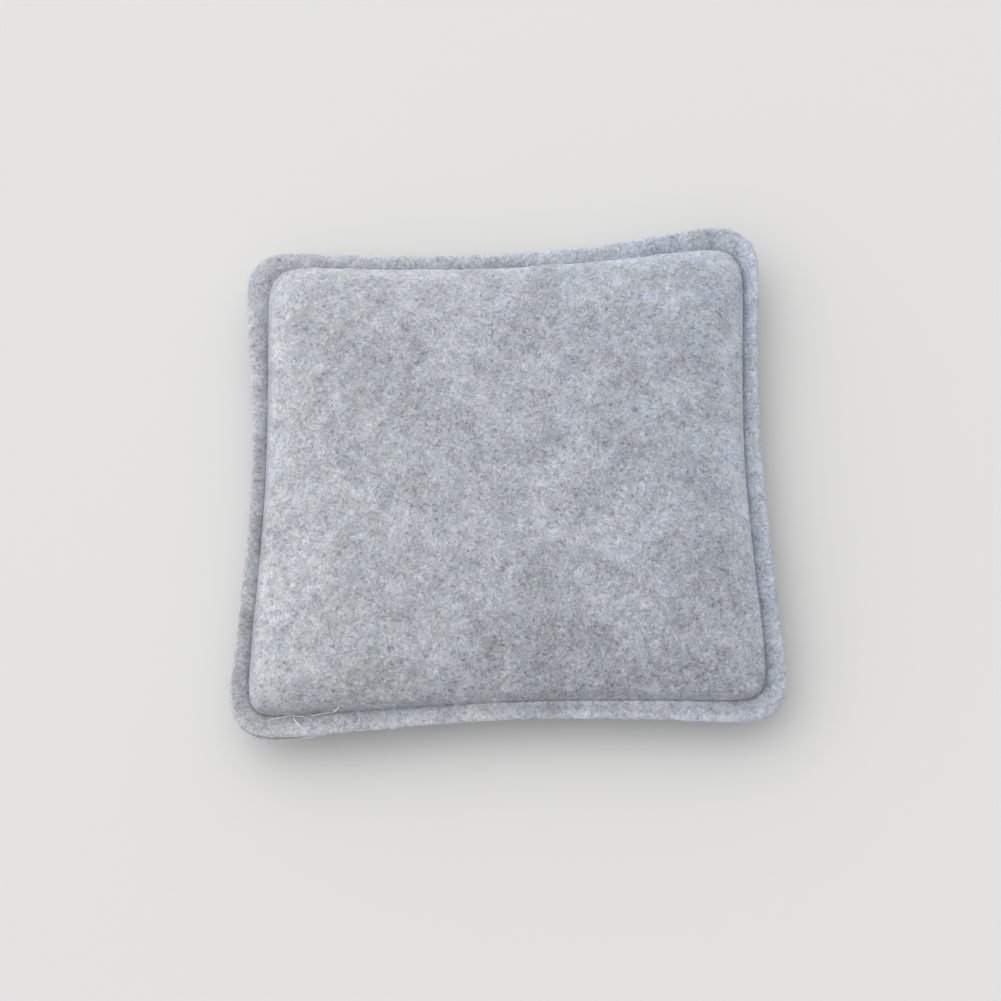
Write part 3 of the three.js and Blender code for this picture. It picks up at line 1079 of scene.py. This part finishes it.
@dataclass
class FeltPanel:
    """One square of thick felt: domed over the filling, pinched at the seam, cut outside it."""

    name: str
    face: Face
    outline: PadOutline
    swell: np.ndarray
    dome_rings: int = 92
    swell_passes: int = 6
    seed: float = 3.7
    # Soft lumps of the filling, full from a rise above the seam on, and the relief of the felt itself.
    lump: float = 0.3 * MM
    lump_size: float = 26 * MM
    lump_rise: float = 6 * MM
    relief: float = 0.05 * MM
    relief_size: float = 2.4 * MM
    relief_seed: float = 9
    # The cut edge: frayed, wandering, and on the lower panel set back but for the front left corner.
    rag: float = 0.45 * MM
    rag_size: float = 2.2 * MM
    rag_seed: float = 5
    edge_waves: tuple[Triple, ...] = ((4, 2.0, 0.3 * MM), (7, -2.0, 0.21 * MM))
    lower_set_back: float = 0.5 * MM
    lower_shows: float = 0.6 * MM
    lower_reach: float = 0.018
    edge_fuzz: float = 10.0
    clear_of_table: float = 5 * MM
    # The seam: puckered by its stitches, sunk less at the right of the front and here and there.
    pucker: float = 0.14 * MM
    pucker_reach: float = 1.6 * MM
    soft_seam: float = 1.3 * MM
    soft_reach: float = 1.6 * MM
    soft_full: float = 0.046
    soft_end: float = 0.0755
    loose: float = 0.45
    loose_waves: tuple[Triple, ...] = ((19, 0.4, 0.5), (31, 2.5, 0.5), (53, 1.1, 0.4))
    # The margin's free edge: tilted up, wavy and lifted at two corners.
    tilt: float = 0.6 * MM
    margin_waves: tuple[Triple, ...] = (
        (3, 0.6, 0.35 * MM), (5, 2.1, 0.3 * MM), (9, 4.0, 0.2 * MM),
    )
    lifts: tuple[tuple[float, float], ...] = ((BACK_RIGHT, 1.6 * MM), (FRONT_LEFT, 2.0 * MM))
    lift_reach: float = 0.05
    lift_curve: float = 1.4
    # How far the front and the back wall lean in at their widest.
    front_ease: float = 1.3 * MM
    back_ease: float = 1.0 * MM
    ease_reach: float = 7 * MM
    # How far up the left wall the taut felt's tint and its painted slit shade reach.
    taut_and_shade_reach: float = 1.2 * MM
    # Painted light and shade added to the felt's tone along each wall of the filling, darker on the front and
    # paler on the right, back and left, and how far in it reaches.
    painted_wall_light: tuple[Triple, ...] = (
        (FRONT, -0.1, 35 * MM), (FRONT_RIGHT, -0.05, 35 * MM), (RIGHT, 0.24, 12 * MM),
        (BACK, 0.12, 9 * MM), (LEFT, 0.05, 9 * MM),
    )
    # Painted shade that darkens the felt to the right, by the metre, and what is added on the margin.
    painted_shade_drift: float = 0.6
    margin_tone: float = 0.04
    # Painted light on the margin, palest at the back right.
    margin_painted_light: float = 0.05
    # Painted light that lifts the crease where the seam is soft along the front.
    crease_painted_light: float = 0.25
    # Painted shade along the margin by the slit at the back left.
    slit_painted_shade: float = -0.1
    slit_reach: float = 3 * MM
    # The rim is paler from its frayed fibres and from painted light on its rounded edge and cut face.
    rim_fray_and_light: float = 0.2
    rim_start: float = 0.4

    def __post_init__(self) -> None:
        """Works out the section of this half of the pad."""
        self.section = PadSection(self.face)

    def wave(self, shares: np.ndarray) -> np.ndarray:
        """Height of the margin's free edge above its plane round the pad, the same on both panels."""
        corners = sum(lift * fading(shares - corner, self.lift_reach) for corner, lift in self.lifts)
        return ripple(shares, self.margin_waves) + corners + self.tilt

    def soft_front(self, shares: np.ndarray) -> np.ndarray:
        """How far places round the pad belong to the stretch of the front where the seam is soft."""
        return stretch(shares, SOFT_FRONT, self.soft_full, self.soft_end)

    def slack(self, shares: np.ndarray) -> np.ndarray:
        """How much less the thread sinks into the felt, 0 to 1, but not where its stitches show."""
        loose = np.clip(ripple(shares, self.loose_waves), 0, 1) * (1 - stretch(shares, STITCHES_SHOW))
        return np.maximum(self.soft_front(shares), self.loose * loose)

    def cut_offset(self, shares: np.ndarray) -> np.ndarray:
        """How far the cut edge lies outside its line.

        Args:
            shares: Shares of the way round.

        Returns:
            Distances, negative inside the line.
        """
        if self.face is Face.TOP:
            return ripple(shares, self.edge_waves)
        corner = fading(shares - LOWER_SHOWS, self.lower_reach)
        return self.lower_shows * corner - self.lower_set_back * (1 - corner)

    def shade(self, inside: float, shares: np.ndarray, flat: np.ndarray) -> np.ndarray:
        """Painted light and shade of one ring of the felt, with the rim's fray, which differ from wall to
        wall and along the margin.

        Args:
            inside: Distance inside the seam.
            shares: Shares of the way round.
            flat: Places on the flat felt.

        Returns:
            What is added to the felt's tone.
        """
        if inside < -self.section.overhang:
            # Painted light in the soft front crease.
            crease_light = self.crease_painted_light * self.soft_front(shares) * fading(inside, self.soft_reach)
            # Painted shade by the slit at the back left.
            slit = self.slit_painted_shade * stretch(shares, BACK_LEFT) * fading(inside, self.slit_reach)
            # The rim is paler from its fray and from painted light.
            outward = -inside / self.outline.margin
            rim = np.clip((outward - self.rim_start) / (1 - self.rim_start), 0, 1)
            pale = self.rim_fray_and_light * (1 - stretch(shares, LEFT))
            # Painted light on the margin, palest at the back right.
            lean = self.margin_painted_light * np.cos(math.tau * (shares - PALEST_MARGIN))
            return self.margin_tone + lean + slit + crease_light + pale * rim ** 2
        # Painted light and shade along the walls of the filling.
        wall_light = (
            tone * fading(max(inside, 0.0), reach) * stretch(shares, side)
            for side, tone, reach in self.painted_wall_light
        )
        # Painted shade that darkens the felt towards the right.
        return sum(wall_light) - self.painted_shade_drift * flat[:, 0]

    def ring_places(
        self, inside: float, height: float, shares: np.ndarray, ease: float = 0.0, soft: float = 0.0
    ) -> np.ndarray:
        """Places of one ring of the panel in the frame.

        Args:
            inside: Distance inside the seam.
            height: Height from the plane where the panels meet, outwards.
            shares: Shares of the way round.
            ease: Share of the full lean that the wall has here along the front and the back.
            soft: How much higher the felt lies where the thread sinks least.

        Returns:
            The points, one to a row.
        """
        flat = self.outline.ring(inside, shares)
        outward = max(-inside / self.outline.margin, 0)
        run = np.roll(flat, -1, axis=0) - np.roll(flat, 1, axis=0)
        normal = np.column_stack((run[:, 1], -run[:, 0])) / (np.linalg.norm(run, axis=1)[:, None] + TINY)
        lean = self.front_ease * stretch(shares, FRONT) + self.back_ease * stretch(shares, BACK)
        flat = flat + normal * (self.cut_offset(shares) * outward ** 2 - ease * lean)[:, None]
        stitches = np.cos(math.tau * self.outline.stitch_count * shares)
        pucker = self.pucker * stitches * math.exp(-abs(inside) / self.pucker_reach)
        fuller = soft * self.slack(shares) * fading(inside, self.soft_reach)
        level = self.section.level(height + pucker + fuller)
        return np.column_stack((flat, level + self.wave(shares) * outward ** self.lift_curve))

    def build(self) -> Mesh:
        """Makes the closed sheet: outer face, cut edge and inner face.

        Returns:
            The mesh, with the flat felt's map and the numbers that its material and fuzz read.
        """
        section, outline, dome = self.section, self.outline, self.dome_rings
        line, lengths = section.outer_line(outline, dome)
        inner_line = section.inner_line(line, dome)
        rings = len(line) - 1
        size = 2 * rings + 1
        outer, inner = np.zeros((2, size, size, 3))
        flat = np.zeros((size, size, 2))
        taut_and_shade, shade = np.zeros((2, size, size))
        climb = np.clip((line[:, 1] - section.sewn_felt) / (section.widest - section.sewn_felt), 0, 1)
        climb[dome + 1:] = 0.0
        within = np.maximum(line[:, 0], 0)
        ease, taut_and_shade_by_ring = (climb * fading(within, reach) for reach in (self.ease_reach, self.taut_and_shade_reach))
        outer[rings, rings, 2] = section.level(line[0, 1])
        inner[rings, rings, 2] = section.level(inner_line[0, 1])
        for ring, where, shares in lattice_rings(rings):
            outer[where] = self.ring_places(*line[ring], shares, ease[ring], self.soft_seam)
            inner[where] = self.ring_places(*inner_line[ring], shares, ease[ring])
            flat[where] = outline.ring(outline.middle - lengths[ring], shares)
            # The taut felt's tint, which also paints the slit's shade, lies on the left wall only.
            taut_and_shade[where] = taut_and_shade_by_ring[ring] * stretch(shares, LEFT)
            shade[where] = self.shade(line[ring, 0], shares, flat[where])
        filled = slice(rings - dome, rings + dome + 1)
        moves = smoothed(spread_lattice(self.swell, 2 * dome + 1), self.swell_passes)
        outer[filled, filled] += moves
        inner[filled, filled] += moves
        cut = [self.ring_places(*place, shares) for place in section.cut_line(outline.margin)]
        past_edge = lengths[-1] + section.felt * np.linspace(0, 1, len(cut) + 1)[1:]
        cut_flat = [outline.ring(outline.middle - length, shares) for length in past_edge]
        face_count, cut_count = size * size, len(cut) * len(shares)
        points = np.vstack((outer.reshape(-1, 3), *cut, inner.reshape(-1, 3)))
        points = self.roughened(points, face_count, cut_count)
        edge = where[0] * size + where[1]
        cut_loops = np.split(np.arange(face_count, face_count + cut_count), len(cut))
        loops = [edge, *cut_loops, face_count + cut_count + edge]
        edge_faces = [
            np.column_stack((upper, lower, np.roll(lower, -1), np.roll(upper, -1)))
            for upper, lower in zip(loops, loops[1:])
        ]
        lattice = lattice_faces(size)
        faces = np.vstack((lattice, lattice[:, ::-1] + face_count + cut_count, *edge_faces))
        # The lower panel's faces run the other way round, so that they point outwards too.
        faces = faces[:, ::self.face.value]
        mesh = new_mesh(self.name, points, [], faces)
        flat_map = np.vstack((flat.reshape(-1, 2), *cut_flat, flat.reshape(-1, 2)))
        mesh.uv_layers.new(name=FLAT_MAP).data.foreach_set("uv", flat_map[faces.ravel()].ravel())
        fuzz = np.repeat((1.0, self.edge_fuzz, 0.0), (face_count, cut_count, face_count))
        carry(mesh, FUZZ, np.where(points[:, 2] < self.clear_of_table, 0.0, fuzz))
        # The cut edge gets the rim's fray and painted light, and none of the taut felt's tint.
        for name, values, at_cut in ((TAUT_AND_SHADE, taut_and_shade.ravel(), 0.0), (SHADE, shade.ravel(), self.rim_fray_and_light)):
            carry(mesh, name, np.concatenate((values, np.full(cut_count, at_cut), values)))
        return mesh

    def roughened(self, points: np.ndarray, face_count: int, cut_count: int) -> np.ndarray:
        """Adds the filling's soft lumps, the felt's relief and the ragged cut.

        Args:
            points: The panel's points: outer face, cut edge, inner face.
            face_count: How many points the outer face has.
            cut_count: How many points the cut edge has.

        Returns:
            The moved points.
        """
        moved = points.copy()
        seed = self.seed * self.face.value
        outer, edge = points[:face_count], points[face_count:face_count + cut_count]
        rise = np.abs(outer[:, 2] - self.section.seam_height)
        over_filling = np.clip((rise - self.section.felt) / self.lump_rise, 0, 1)
        lumps = self.lump * noise_at(outer, self.lump_size, seed)
        relief = self.relief * noise_at(outer, self.relief_size, seed + self.relief_seed)
        moved[:face_count, 2] += self.face.value * (lumps * over_filling + relief)
        out = edge * (1, 1, 0)
        out /= np.linalg.norm(out, axis=1)[:, None]
        rag = self.rag * noise_at(edge, self.rag_size, seed + self.rag_seed)
        moved[face_count:face_count + cut_count] += out * rag[:, None]
        moved[:, 2] = np.maximum(moved[:, 2], 0.0)
        return moved


@dataclass
class WaddingLayer:
    """One sheet of wadding in the stack that fills the pad, cut to the space inside the felt."""

    name: str
    node: str
    outline: PadOutline
    rings: int = 44
    fine_steps: int = 400
    ease: float = 1.4 * MM
    lump: float = 0.3 * MM
    lump_size: float = 6 * MM
    lump_seeds: tuple[float, float] = (1.3, 7.9)
    edge_roundness: float = 3 * MM
    thinnest: float = 0.8 * MM

    def build(self) -> Mesh:
        """Makes the layer between its CAD solid's lowest and highest level, inside the felt's lining.

        Returns:
            The closed mesh.
        """
        low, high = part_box(self.node)
        top, bottom = PadSection(Face.TOP), PadSection(Face.BOTTOM)
        inside = np.linspace(self.outline.middle, 0, self.fine_steps)
        ceiling = np.minimum(top.level(top.lining(inside, self.outline)) - self.ease, high.z)
        floor = np.maximum(bottom.level(bottom.lining(inside, self.outline)) + self.ease, low.z)
        edge = inside[np.nonzero(ceiling - floor > self.thinnest)[0][-1]]
        stations = np.linspace(self.outline.middle, edge, self.rings + 1)
        rounding = np.sqrt(1 - np.clip(1 - (stations - edge) / self.edge_roundness, 0, 1) ** 2)
        lines = [np.interp(-stations, -inside, limit) for limit in (ceiling, floor)]
        middle = sum(lines) / 2
        lattices = []
        for line, inward, seed in zip(lines, (-1, 1), self.lump_seeds):
            lattice = raised_lattice(self.outline, stations, middle + (line - middle) * rounding)
            lumps = noise_at(lattice.reshape(-1, 3), self.lump_size, seed).reshape(lattice.shape[:2])
            lattice[:, :, 2] += inward * self.lump * (1 + lumps) / 2
            lattices.append(lattice)
        points, faces, _ = joined_lattices(*lattices)
        return new_mesh(self.name, points, [], faces)


# Loose fibres and seam


def round_rod(add: NodeMaker, curve: Node, radius: NodeSocket, sides: int) -> Node:
    """Makes a closed rod along a curve.

    Args:
        add: Function that adds nodes to the tree.
        curve: The curve.
        radius: The rod's radius.
        sides: How many sides the rod has.

    Returns:
        The rod's mesh.
    """
    circle = add("GeometryNodeCurvePrimitiveCircle", {"Resolution": sides, "Radius": radius})
    return add("GeometryNodeCurveToMesh", {"Curve": curve, "Profile Curve": circle, "Fill Caps": True})


@dataclass
class FeltFuzz:
    """Loose fibres that stand off the felt, drawn a few times thicker than wool so that they show."""

    density: float = 130000.0
    length: float = 2.2 * MM
    thickness: float = 0.06 * MM
    lift: float = 0.3 * MM
    # Root, knee and tip of a fibre, as shares of its length ahead and of its lift upwards.
    bends: tuple[Triple, ...] = ((0, 0, -0.4), (0.5, 0, 2.0), (1, 0, 0))
    bend_steps: int = 4
    sides: int = 3
    tilt: tuple[float, float] = (0.25, 0.35)
    shortest: float = 0.4
    longest: float = 1.25
    curl: Triple = (0.7 * MM, 0.7 * MM, 0.35 * MM)
    curl_middle: Triple = (0.5, 0.5, 0.45)
    curl_size: float = 1.6 * MM
    tone_seed: int = 3
    turn_seed: int = 5
    size_seed: int = 7

    def tree(self, values: dict[str, object]) -> NodeTree:
        """Builds the tree that scatters bent fibres over a felt panel.

        Args:
            values: Values that get an input each, by name.

        Returns:
            The tree.
        """
        tree, given = new_tree("felt fuzz", values)
        add, inputs = partial(add_node, tree), given.outputs
        fuzz = add("GeometryNodeInputNamedAttribute", {"Name": FUZZ}, data_type="FLOAT").outputs["Attribute"]
        density = add("ShaderNodeMath", {0: inputs["Density"], 1: fuzz}, operation="MULTIPLY")
        spread = add(
            "GeometryNodeDistributePointsOnFaces",
            {"Mesh": inputs["Geometry"], "Density": density, "Seed": inputs["Seed"]},
        )
        tone = add("FunctionNodeRandomValue", {"Seed": self.tone_seed}, data_type="FLOAT").outputs[DRAWN]
        toned = add(
            "GeometryNodeStoreNamedAttribute", {"Geometry": spread, "Name": TONE, "Value": tone},
            data_type="FLOAT", domain="POINT",
        )
        reach = add("ShaderNodeCombineXYZ", {"X": inputs["Length"], "Z": inputs["Lift"]})
        root, knee, tip = (
            add("ShaderNodeVectorMath", {0: reach, 1: shares}, operation="MULTIPLY") for shares in self.bends
        )
        bend = add(
            "GeometryNodeCurveQuadraticBezier",
            {"Resolution": self.bend_steps, "Start": root, "Middle": knee, "End": tip},
        )
        fibre = round_rod(add, bend, inputs["Radius"], self.sides)
        roll, pitch = self.tilt
        spin = add(
            "FunctionNodeRandomValue",
            {"Min": (-roll, -pitch, 0.0), "Max": (roll, pitch, math.tau), "Seed": self.turn_seed},
            data_type="FLOAT_VECTOR",
        )
        turn = add(
            "FunctionNodeRotateRotation", {"Rotation": spread.outputs["Rotation"], "Rotate By": spin},
            rotation_space="LOCAL",
        )
        grow = add(
            "FunctionNodeRandomValue", {LEAST: self.shortest, MOST: self.longest, "Seed": self.size_seed},
            data_type="FLOAT",
        )
        placed = add(
            "GeometryNodeInstanceOnPoints",
            {"Points": toned, "Instance": fibre, "Rotation": turn, "Scale": grow.outputs[DRAWN]},
        )
        solid = add("GeometryNodeRealizeInstances", {0: placed})
        place = add("GeometryNodeInputPosition")
        wander = add("ShaderNodeTexNoise", {"Vector": place, "Scale": 1 / self.curl_size, "Detail": 1.0})
        aside = add(
            "ShaderNodeVectorMath", {0: wander.outputs["Color"], 1: self.curl_middle}, operation="SUBTRACT"
        )
        push = add("ShaderNodeVectorMath", {0: aside, 1: self.curl}, operation="MULTIPLY")
        curled = add("GeometryNodeSetPosition", {"Geometry": solid, "Offset": push})
        finished = add("GeometryNodeSetMaterial", {"Geometry": curled, "Material": inputs["Material"]})
        add("NodeGroupOutput", {0: finished})
        return tree

    def grow(self, panel: Object, name: str, share: float, seed: int, material: Material) -> Object:
        """Grows fibres on a felt panel as a piece of their own.

        Args:
            panel: The felt.
            name: Name of the new piece.
            share: Share of the full density.
            seed: Seed of the scatter.
            material: The fibres' finish.

        Returns:
            The piece.
        """
        values = {
            "Density": self.density * share, "Length": self.length, "Radius": self.thickness / 2,
            "Lift": self.lift, "Seed": seed, "Material": material,
        }
        return new_piece(name, grown(panel.data, self.tree(values), values))


@dataclass
class LockstitchSeam:
    """One lap of machine lockstitch that overlaps its own start, and the thread's loose ends."""

    outline: PadOutline
    section: PadSection
    thread: float = 0.44 * MM
    thread_sides: int = 6
    start: float = 85 * MM
    # Millimetres along the seam, out from it and up from the felt, for each needle hole of the overlap.
    overlap: tuple[Triple, ...] = (
        (0, 1.7, -0.5), (0.3, 1.7, 0.2), (6.4, 0.2, 0.3), (12, 0.9, 0.05), (12.3, 0.9, -0.5),
        (14.2, 0.7, -0.5), (14.5, 0.7, 0.3), (20.9, 0, 0.6),
    )
    sunk: float = 0.6 * MM
    leg: float = 0.4 * MM
    leg_sharpness: float = 8.0
    stitch_steps: int = 15
    run_step: float = 0.001
    # Millimetres along the seam and inside it from the first and the last hole, and up from the felt.
    start_tail: tuple[Triple, ...] = (
        (7.4, -1.2, 0.1), (8.2, -2.1, 0.7), (9.3, -3.4, 0.9), (10.5, -4.6, 1.0),
    )
    end_tail: tuple[Triple, ...] = ((0.6, -0.2, 0.3), (1.9, 0.1, 2.2), (3.2, 0.5, 4.4))

    def felt_height(self, out: float) -> float:
        """Height of the felt's outer face at a distance outside the seam."""
        line = self.section.margin_line(self.outline.margin)
        return np.interp(out, -line[:, 0], line[:, 1])

    def holes(self) -> np.ndarray:
        """Needle holes in sewing order.

        Returns:
            For each hole its place in the plan, its height on the felt and the way that the seam runs.
        """
        seam, lap = self.outline.ring_length(0.0), self.outline.stitch_count
        places = [(seam * stitch / lap, 0.0, -self.sunk) for stitch in range(lap)]
        places += [(seam + ahead * MM, out * MM, up * MM) for ahead, out, up in self.overlap]
        rows = []
        for length, out, up in places:
            share = (length - self.start) / seam
            here, ahead = self.outline.ring(-out, np.array((share, share + self.run_step)))
            run = (ahead - here) / np.linalg.norm(ahead - here)
            rows.append((*here, self.felt_height(out) + up, *run))
        return np.array(rows)

    def tree(self, values: dict[str, object]) -> NodeTree:
        """Builds the tree that lays a stitch from each needle hole to the next.

        Args:
            values: Values that get an input each, by name.

        Returns:
            The tree.
        """
        tree, given = new_tree("lockstitches", values)
        add, inputs = partial(add_node, tree), given.outputs
        ends = add("GeometryNodeInputMeshEdgeVertices").outputs
        span = add(
            "ShaderNodeVectorMath", {0: ends["Position 2"], 1: ends["Position 1"]}, operation="SUBTRACT"
        )
        held = add("GeometryNodeCaptureAttribute", {"Geometry": inputs["Geometry"]}, domain="EDGE")
        held.capture_items.new("VECTOR", "Span")
        tree.links.new(span.outputs[0], held.inputs["Span"])
        middles = add("GeometryNodeMeshToPoints", {"Mesh": held}, mode="EDGES")
        along = held.outputs["Span"]
        yaw = add("FunctionNodeAlignRotationToVector", {"Vector": along}, axis="X", pivot_axis="Z")
        pitch = add(
            "FunctionNodeAlignRotationToVector", {"Rotation": yaw, "Vector": along}, axis="X", pivot_axis="Y"
        )
        length = add("ShaderNodeVectorMath", {0: along}, operation="LENGTH").outputs["Value"]
        full = inputs["Stitch Length"]
        longer = add("ShaderNodeMath", {0: length, 1: full}, operation="DIVIDE")
        scale = add("ShaderNodeCombineXYZ", {"X": longer, "Y": 1.0, "Z": 1.0})
        low, high = (
            add("ShaderNodeVectorMath", {0: (half, 0, 0), "Scale": full}, operation="SCALE")
            for half in (-0.5, 0.5)
        )
        straight = add("GeometryNodeCurvePrimitiveLine", {"Start": low, "End": high})
        run = add("GeometryNodeResampleCurve", {"Curve": straight, "Count": self.stitch_steps})
        spline = add("GeometryNodeSplineParameter").outputs
        marked = add(
            "GeometryNodeStoreNamedAttribute", {"Geometry": run, "Name": ALONG, "Value": spline["Length"]},
            data_type="FLOAT", domain="POINT",
        )
        off_middle = add("ShaderNodeMapRange", {"Value": spline["Factor"], "To Min": -1.0, "To Max": 1.0})
        near_end = add("ShaderNodeMath", {0: off_middle, 1: self.leg_sharpness}, operation="POWER")
        dip = add("ShaderNodeMath", {0: near_end, 1: inputs["Dip"]}, operation="MULTIPLY")
        down = add("ShaderNodeCombineXYZ", {"Z": dip})
        bent = add("GeometryNodeSetPosition", {"Geometry": marked, "Offset": down})
        stitch = round_rod(add, bent, inputs["Radius"], self.thread_sides)
        placed = add(
            "GeometryNodeInstanceOnPoints",
            {"Points": middles, "Instance": stitch, "Rotation": pitch, "Scale": scale},
        )
        solid = add("GeometryNodeRealizeInstances", {0: placed})
        finished = add("GeometryNodeSetMaterial", {"Geometry": solid, "Material": inputs["Material"]})
        add("NodeGroupOutput", {0: finished})
        return tree

    def stitches(self, name: str, face: Face, material: Material) -> Object:
        """Sews the stitches of one thread.

        Args:
            name: Name of the new piece.
            face: The side of the pad that the thread shows on.
            material: The thread's finish.

        Returns:
            The piece.
        """
        points = self.holes()[:, :3]
        points[:, 2] = self.section.seam_height + face.value * points[:, 2]
        path = new_mesh("seam path", points, [(hole, hole + 1) for hole in range(len(points) - 1)], [])
        values = {
            "Radius": self.thread / 2, "Stitch Length": STITCH, "Dip": -face.value * self.leg,
            "Material": material,
        }
        return new_piece(name, grown(path, self.tree(values), values))

    def tail(self, name: str, hole: int, steps: tuple, material: Material) -> Object:
        """Lays a loose end of the needle thread.

        Args:
            name: Name of the new piece.
            hole: The needle hole that its places are measured from, in sewing order.
            steps: Millimetres along the seam and inside it from the hole, and up from the felt.
            material: The thread's finish.

        Returns:
            The piece.
        """
        x, y, _, run_x, run_y = self.holes()[hole]
        run, inward = np.array((run_x, run_y)), np.array((-run_y, run_x))
        curve = bpy.data.curves.new(name, "CURVE")
        curve.dimensions = "3D"
        curve.bevel_depth = self.thread / 2
        curve.bevel_resolution = 2
        curve.resolution_u = 8
        curve.use_fill_caps = True
        spline = curve.splines.new("BEZIER")
        spline.bezier_points.add(len(steps) - 1)
        for point, (ahead, aside, up) in zip(spline.bezier_points, steps):
            flat = np.array((x, y)) + (run * ahead + inward * aside) * MM
            point.co = (*flat, self.section.seam_height + self.felt_height(-aside * MM) + up * MM)
            point.handle_left_type = point.handle_right_type = "AUTO"
        drawn = bpy.data.objects.new("tail", curve)
        bpy.context.scene.collection.objects.link(drawn)
        mesh = plain_mesh(drawn)
        start = Vector(mesh.vertices[0].co)
        carry(mesh, ALONG, [(vertex.co - start).length for vertex in mesh.vertices])
        return new_piece(name, mesh, material)


# Studio


@dataclass
class Studio:
    """Pale table, soft light from the back left and a camera that looks down on the pad."""

    floor_colour: str = "#e5e5e4"
    floor_size: float = 40.0
    floor_roughness: float = 0.8
    floor_specular: float = 0.2
    sky_colour: str = "#fefdfd"
    sky_strength: float = 0.96
    sky_slant: Triple = (-0.62, 0.32, 0.0)
    lamp_place: Triple = (-0.6, 0.6, 1.1)
    lamp_size: float = 1.2
    lamp_power: float = 1.0
    focal_pixels: float = 2400.0
    image_pixels: float = 1001.0
    sensor: float = 36.0
    elevation: float = 67.6
    azimuth: float = -1.32
    distance: float = 900 * MM
    nearest: float = 10 * MM
    target: Triple = (-1.35 * MM, -11.08 * MM, 15 * MM)

    def floor(self) -> None:
        """Lays the table top."""
        # Matt paint, so the table takes soft shadows and shows no gloss.
        material, _ = new_material("matt white table top")
        shaded(material, {
            "Base Color": linear(self.floor_colour), "Roughness": self.floor_roughness,
            "Specular IOR Level": self.floor_specular,
        })
        corners = np.array(((-1, -1, 0), (1, -1, 0), (1, 1, 0), (-1, 1, 0))) * self.floor_size / 2
        new_piece("table", new_mesh("table", corners, [], [(0, 1, 2, 3)]), material)

    def light(self) -> None:
        """Sets the sky, which is brighter to the back left, and one large soft lamp."""
        scene = bpy.context.scene
        world = bpy.data.worlds.new("soft sky")
        world.use_nodes = True
        add = partial(add_node, world.node_tree)
        sky = world.node_tree.nodes["Background"]
        sky.inputs["Color"].default_value = linear(self.sky_colour)
        way = add("ShaderNodeTexCoord").outputs["Generated"]
        slant = add("ShaderNodeVectorMath", {0: way, 1: self.sky_slant}, operation="DOT_PRODUCT")
        level = weighted(add, self.sky_strength, [(slant.outputs["Value"], self.sky_strength)])
        world.node_tree.links.new(level.outputs[0], sky.inputs["Strength"])
        scene.world = world
        lamp = bpy.data.lights.new("soft box", "AREA")
        lamp.shape = "SQUARE"
        lamp.size = self.lamp_size
        lamp.energy = self.lamp_power
        holder = bpy.data.objects.new("soft box", lamp)
        holder.location = self.lamp_place
        holder.rotation_euler = (-Vector(self.lamp_place)).to_track_quat("-Z", "Y").to_euler()
        scene.collection.objects.link(holder)

    def camera(self) -> None:
        """Puts the camera at the photograph's place and angle."""
        rise, turn = math.radians(self.elevation), math.radians(self.azimuth)
        back = Vector((math.sin(turn) * math.cos(rise), -math.cos(turn) * math.cos(rise), math.sin(rise)))
        right = Vector((math.cos(turn), math.sin(turn), 0))
        data = bpy.data.cameras.new("camera")
        data.sensor_width = self.sensor
        data.lens = self.sensor * self.focal_pixels / self.image_pixels
        data.clip_start = self.nearest
        camera = bpy.data.objects.new("camera", data)
        turned = Matrix((right, back.cross(right), back)).transposed().to_4x4()
        camera.matrix_world = Matrix.Translation(Vector(self.target) + back * self.distance) @ turned
        bpy.context.scene.collection.objects.link(camera)
        bpy.context.scene.camera = camera

    def build(self) -> None:
        """Makes the table, the light and the camera."""
        self.floor()
        self.light()
        self.camera()
        bpy.context.scene.view_settings.view_transform = "Standard"


def main() -> None:
    """Builds the studio and the pad, from the felt inwards and then its fibres and seam."""
    logging.basicConfig(level=logging.INFO, format="%(name)s: %(message)s")
    Studio().build()
    felt, fibre, thread, wadding = (
        finish.material() for finish in (MarledFelt(), LooseFibre(), SewingThread(), PolyesterWadding())
    )
    outline = PadOutline()
    swells = StuffedCover(outline).simulate()
    panels = {}
    for name, node, face in (
        ("top_felt", "top_panel", Face.TOP), ("bottom_felt", "bottom_panel", Face.BOTTOM),
    ):
        panel = FeltPanel(name, face, outline, swells[face])
        panels[face] = hand_over(new_piece(name, panel.build(), felt), "felt", node)
    for node in ("lower_wadding", "middle_wadding", "upper_wadding"):
        layer = WaddingLayer(f"{node}_layer", node, outline)
        piece = hand_over(new_piece(layer.name, layer.build(), wadding), "wadding", node)
    fuzz = FeltFuzz()
    for name, face, share, seed in (("top_fuzz", Face.TOP, 1.0, 11), ("bottom_fuzz", Face.BOTTOM, 0.6, 12)):
        hand_over(fuzz.grow(panels[face], name, share, seed, fibre), "felt")
    seam = LockstitchSeam(outline, PadSection(Face.TOP))
    hand_over(seam.stitches("needle_stitches", Face.TOP, thread), "thread", "needle_thread")
    hand_over(seam.stitches("bobbin_stitches", Face.BOTTOM, thread), "thread", "bobbin_thread")
    hand_over(seam.tail("thread_start", 0, seam.start_tail, thread), "thread")
    hand_over(seam.tail("thread_end", -1, seam.end_tail, thread), "thread")


if __name__ == "__main__":
    main()
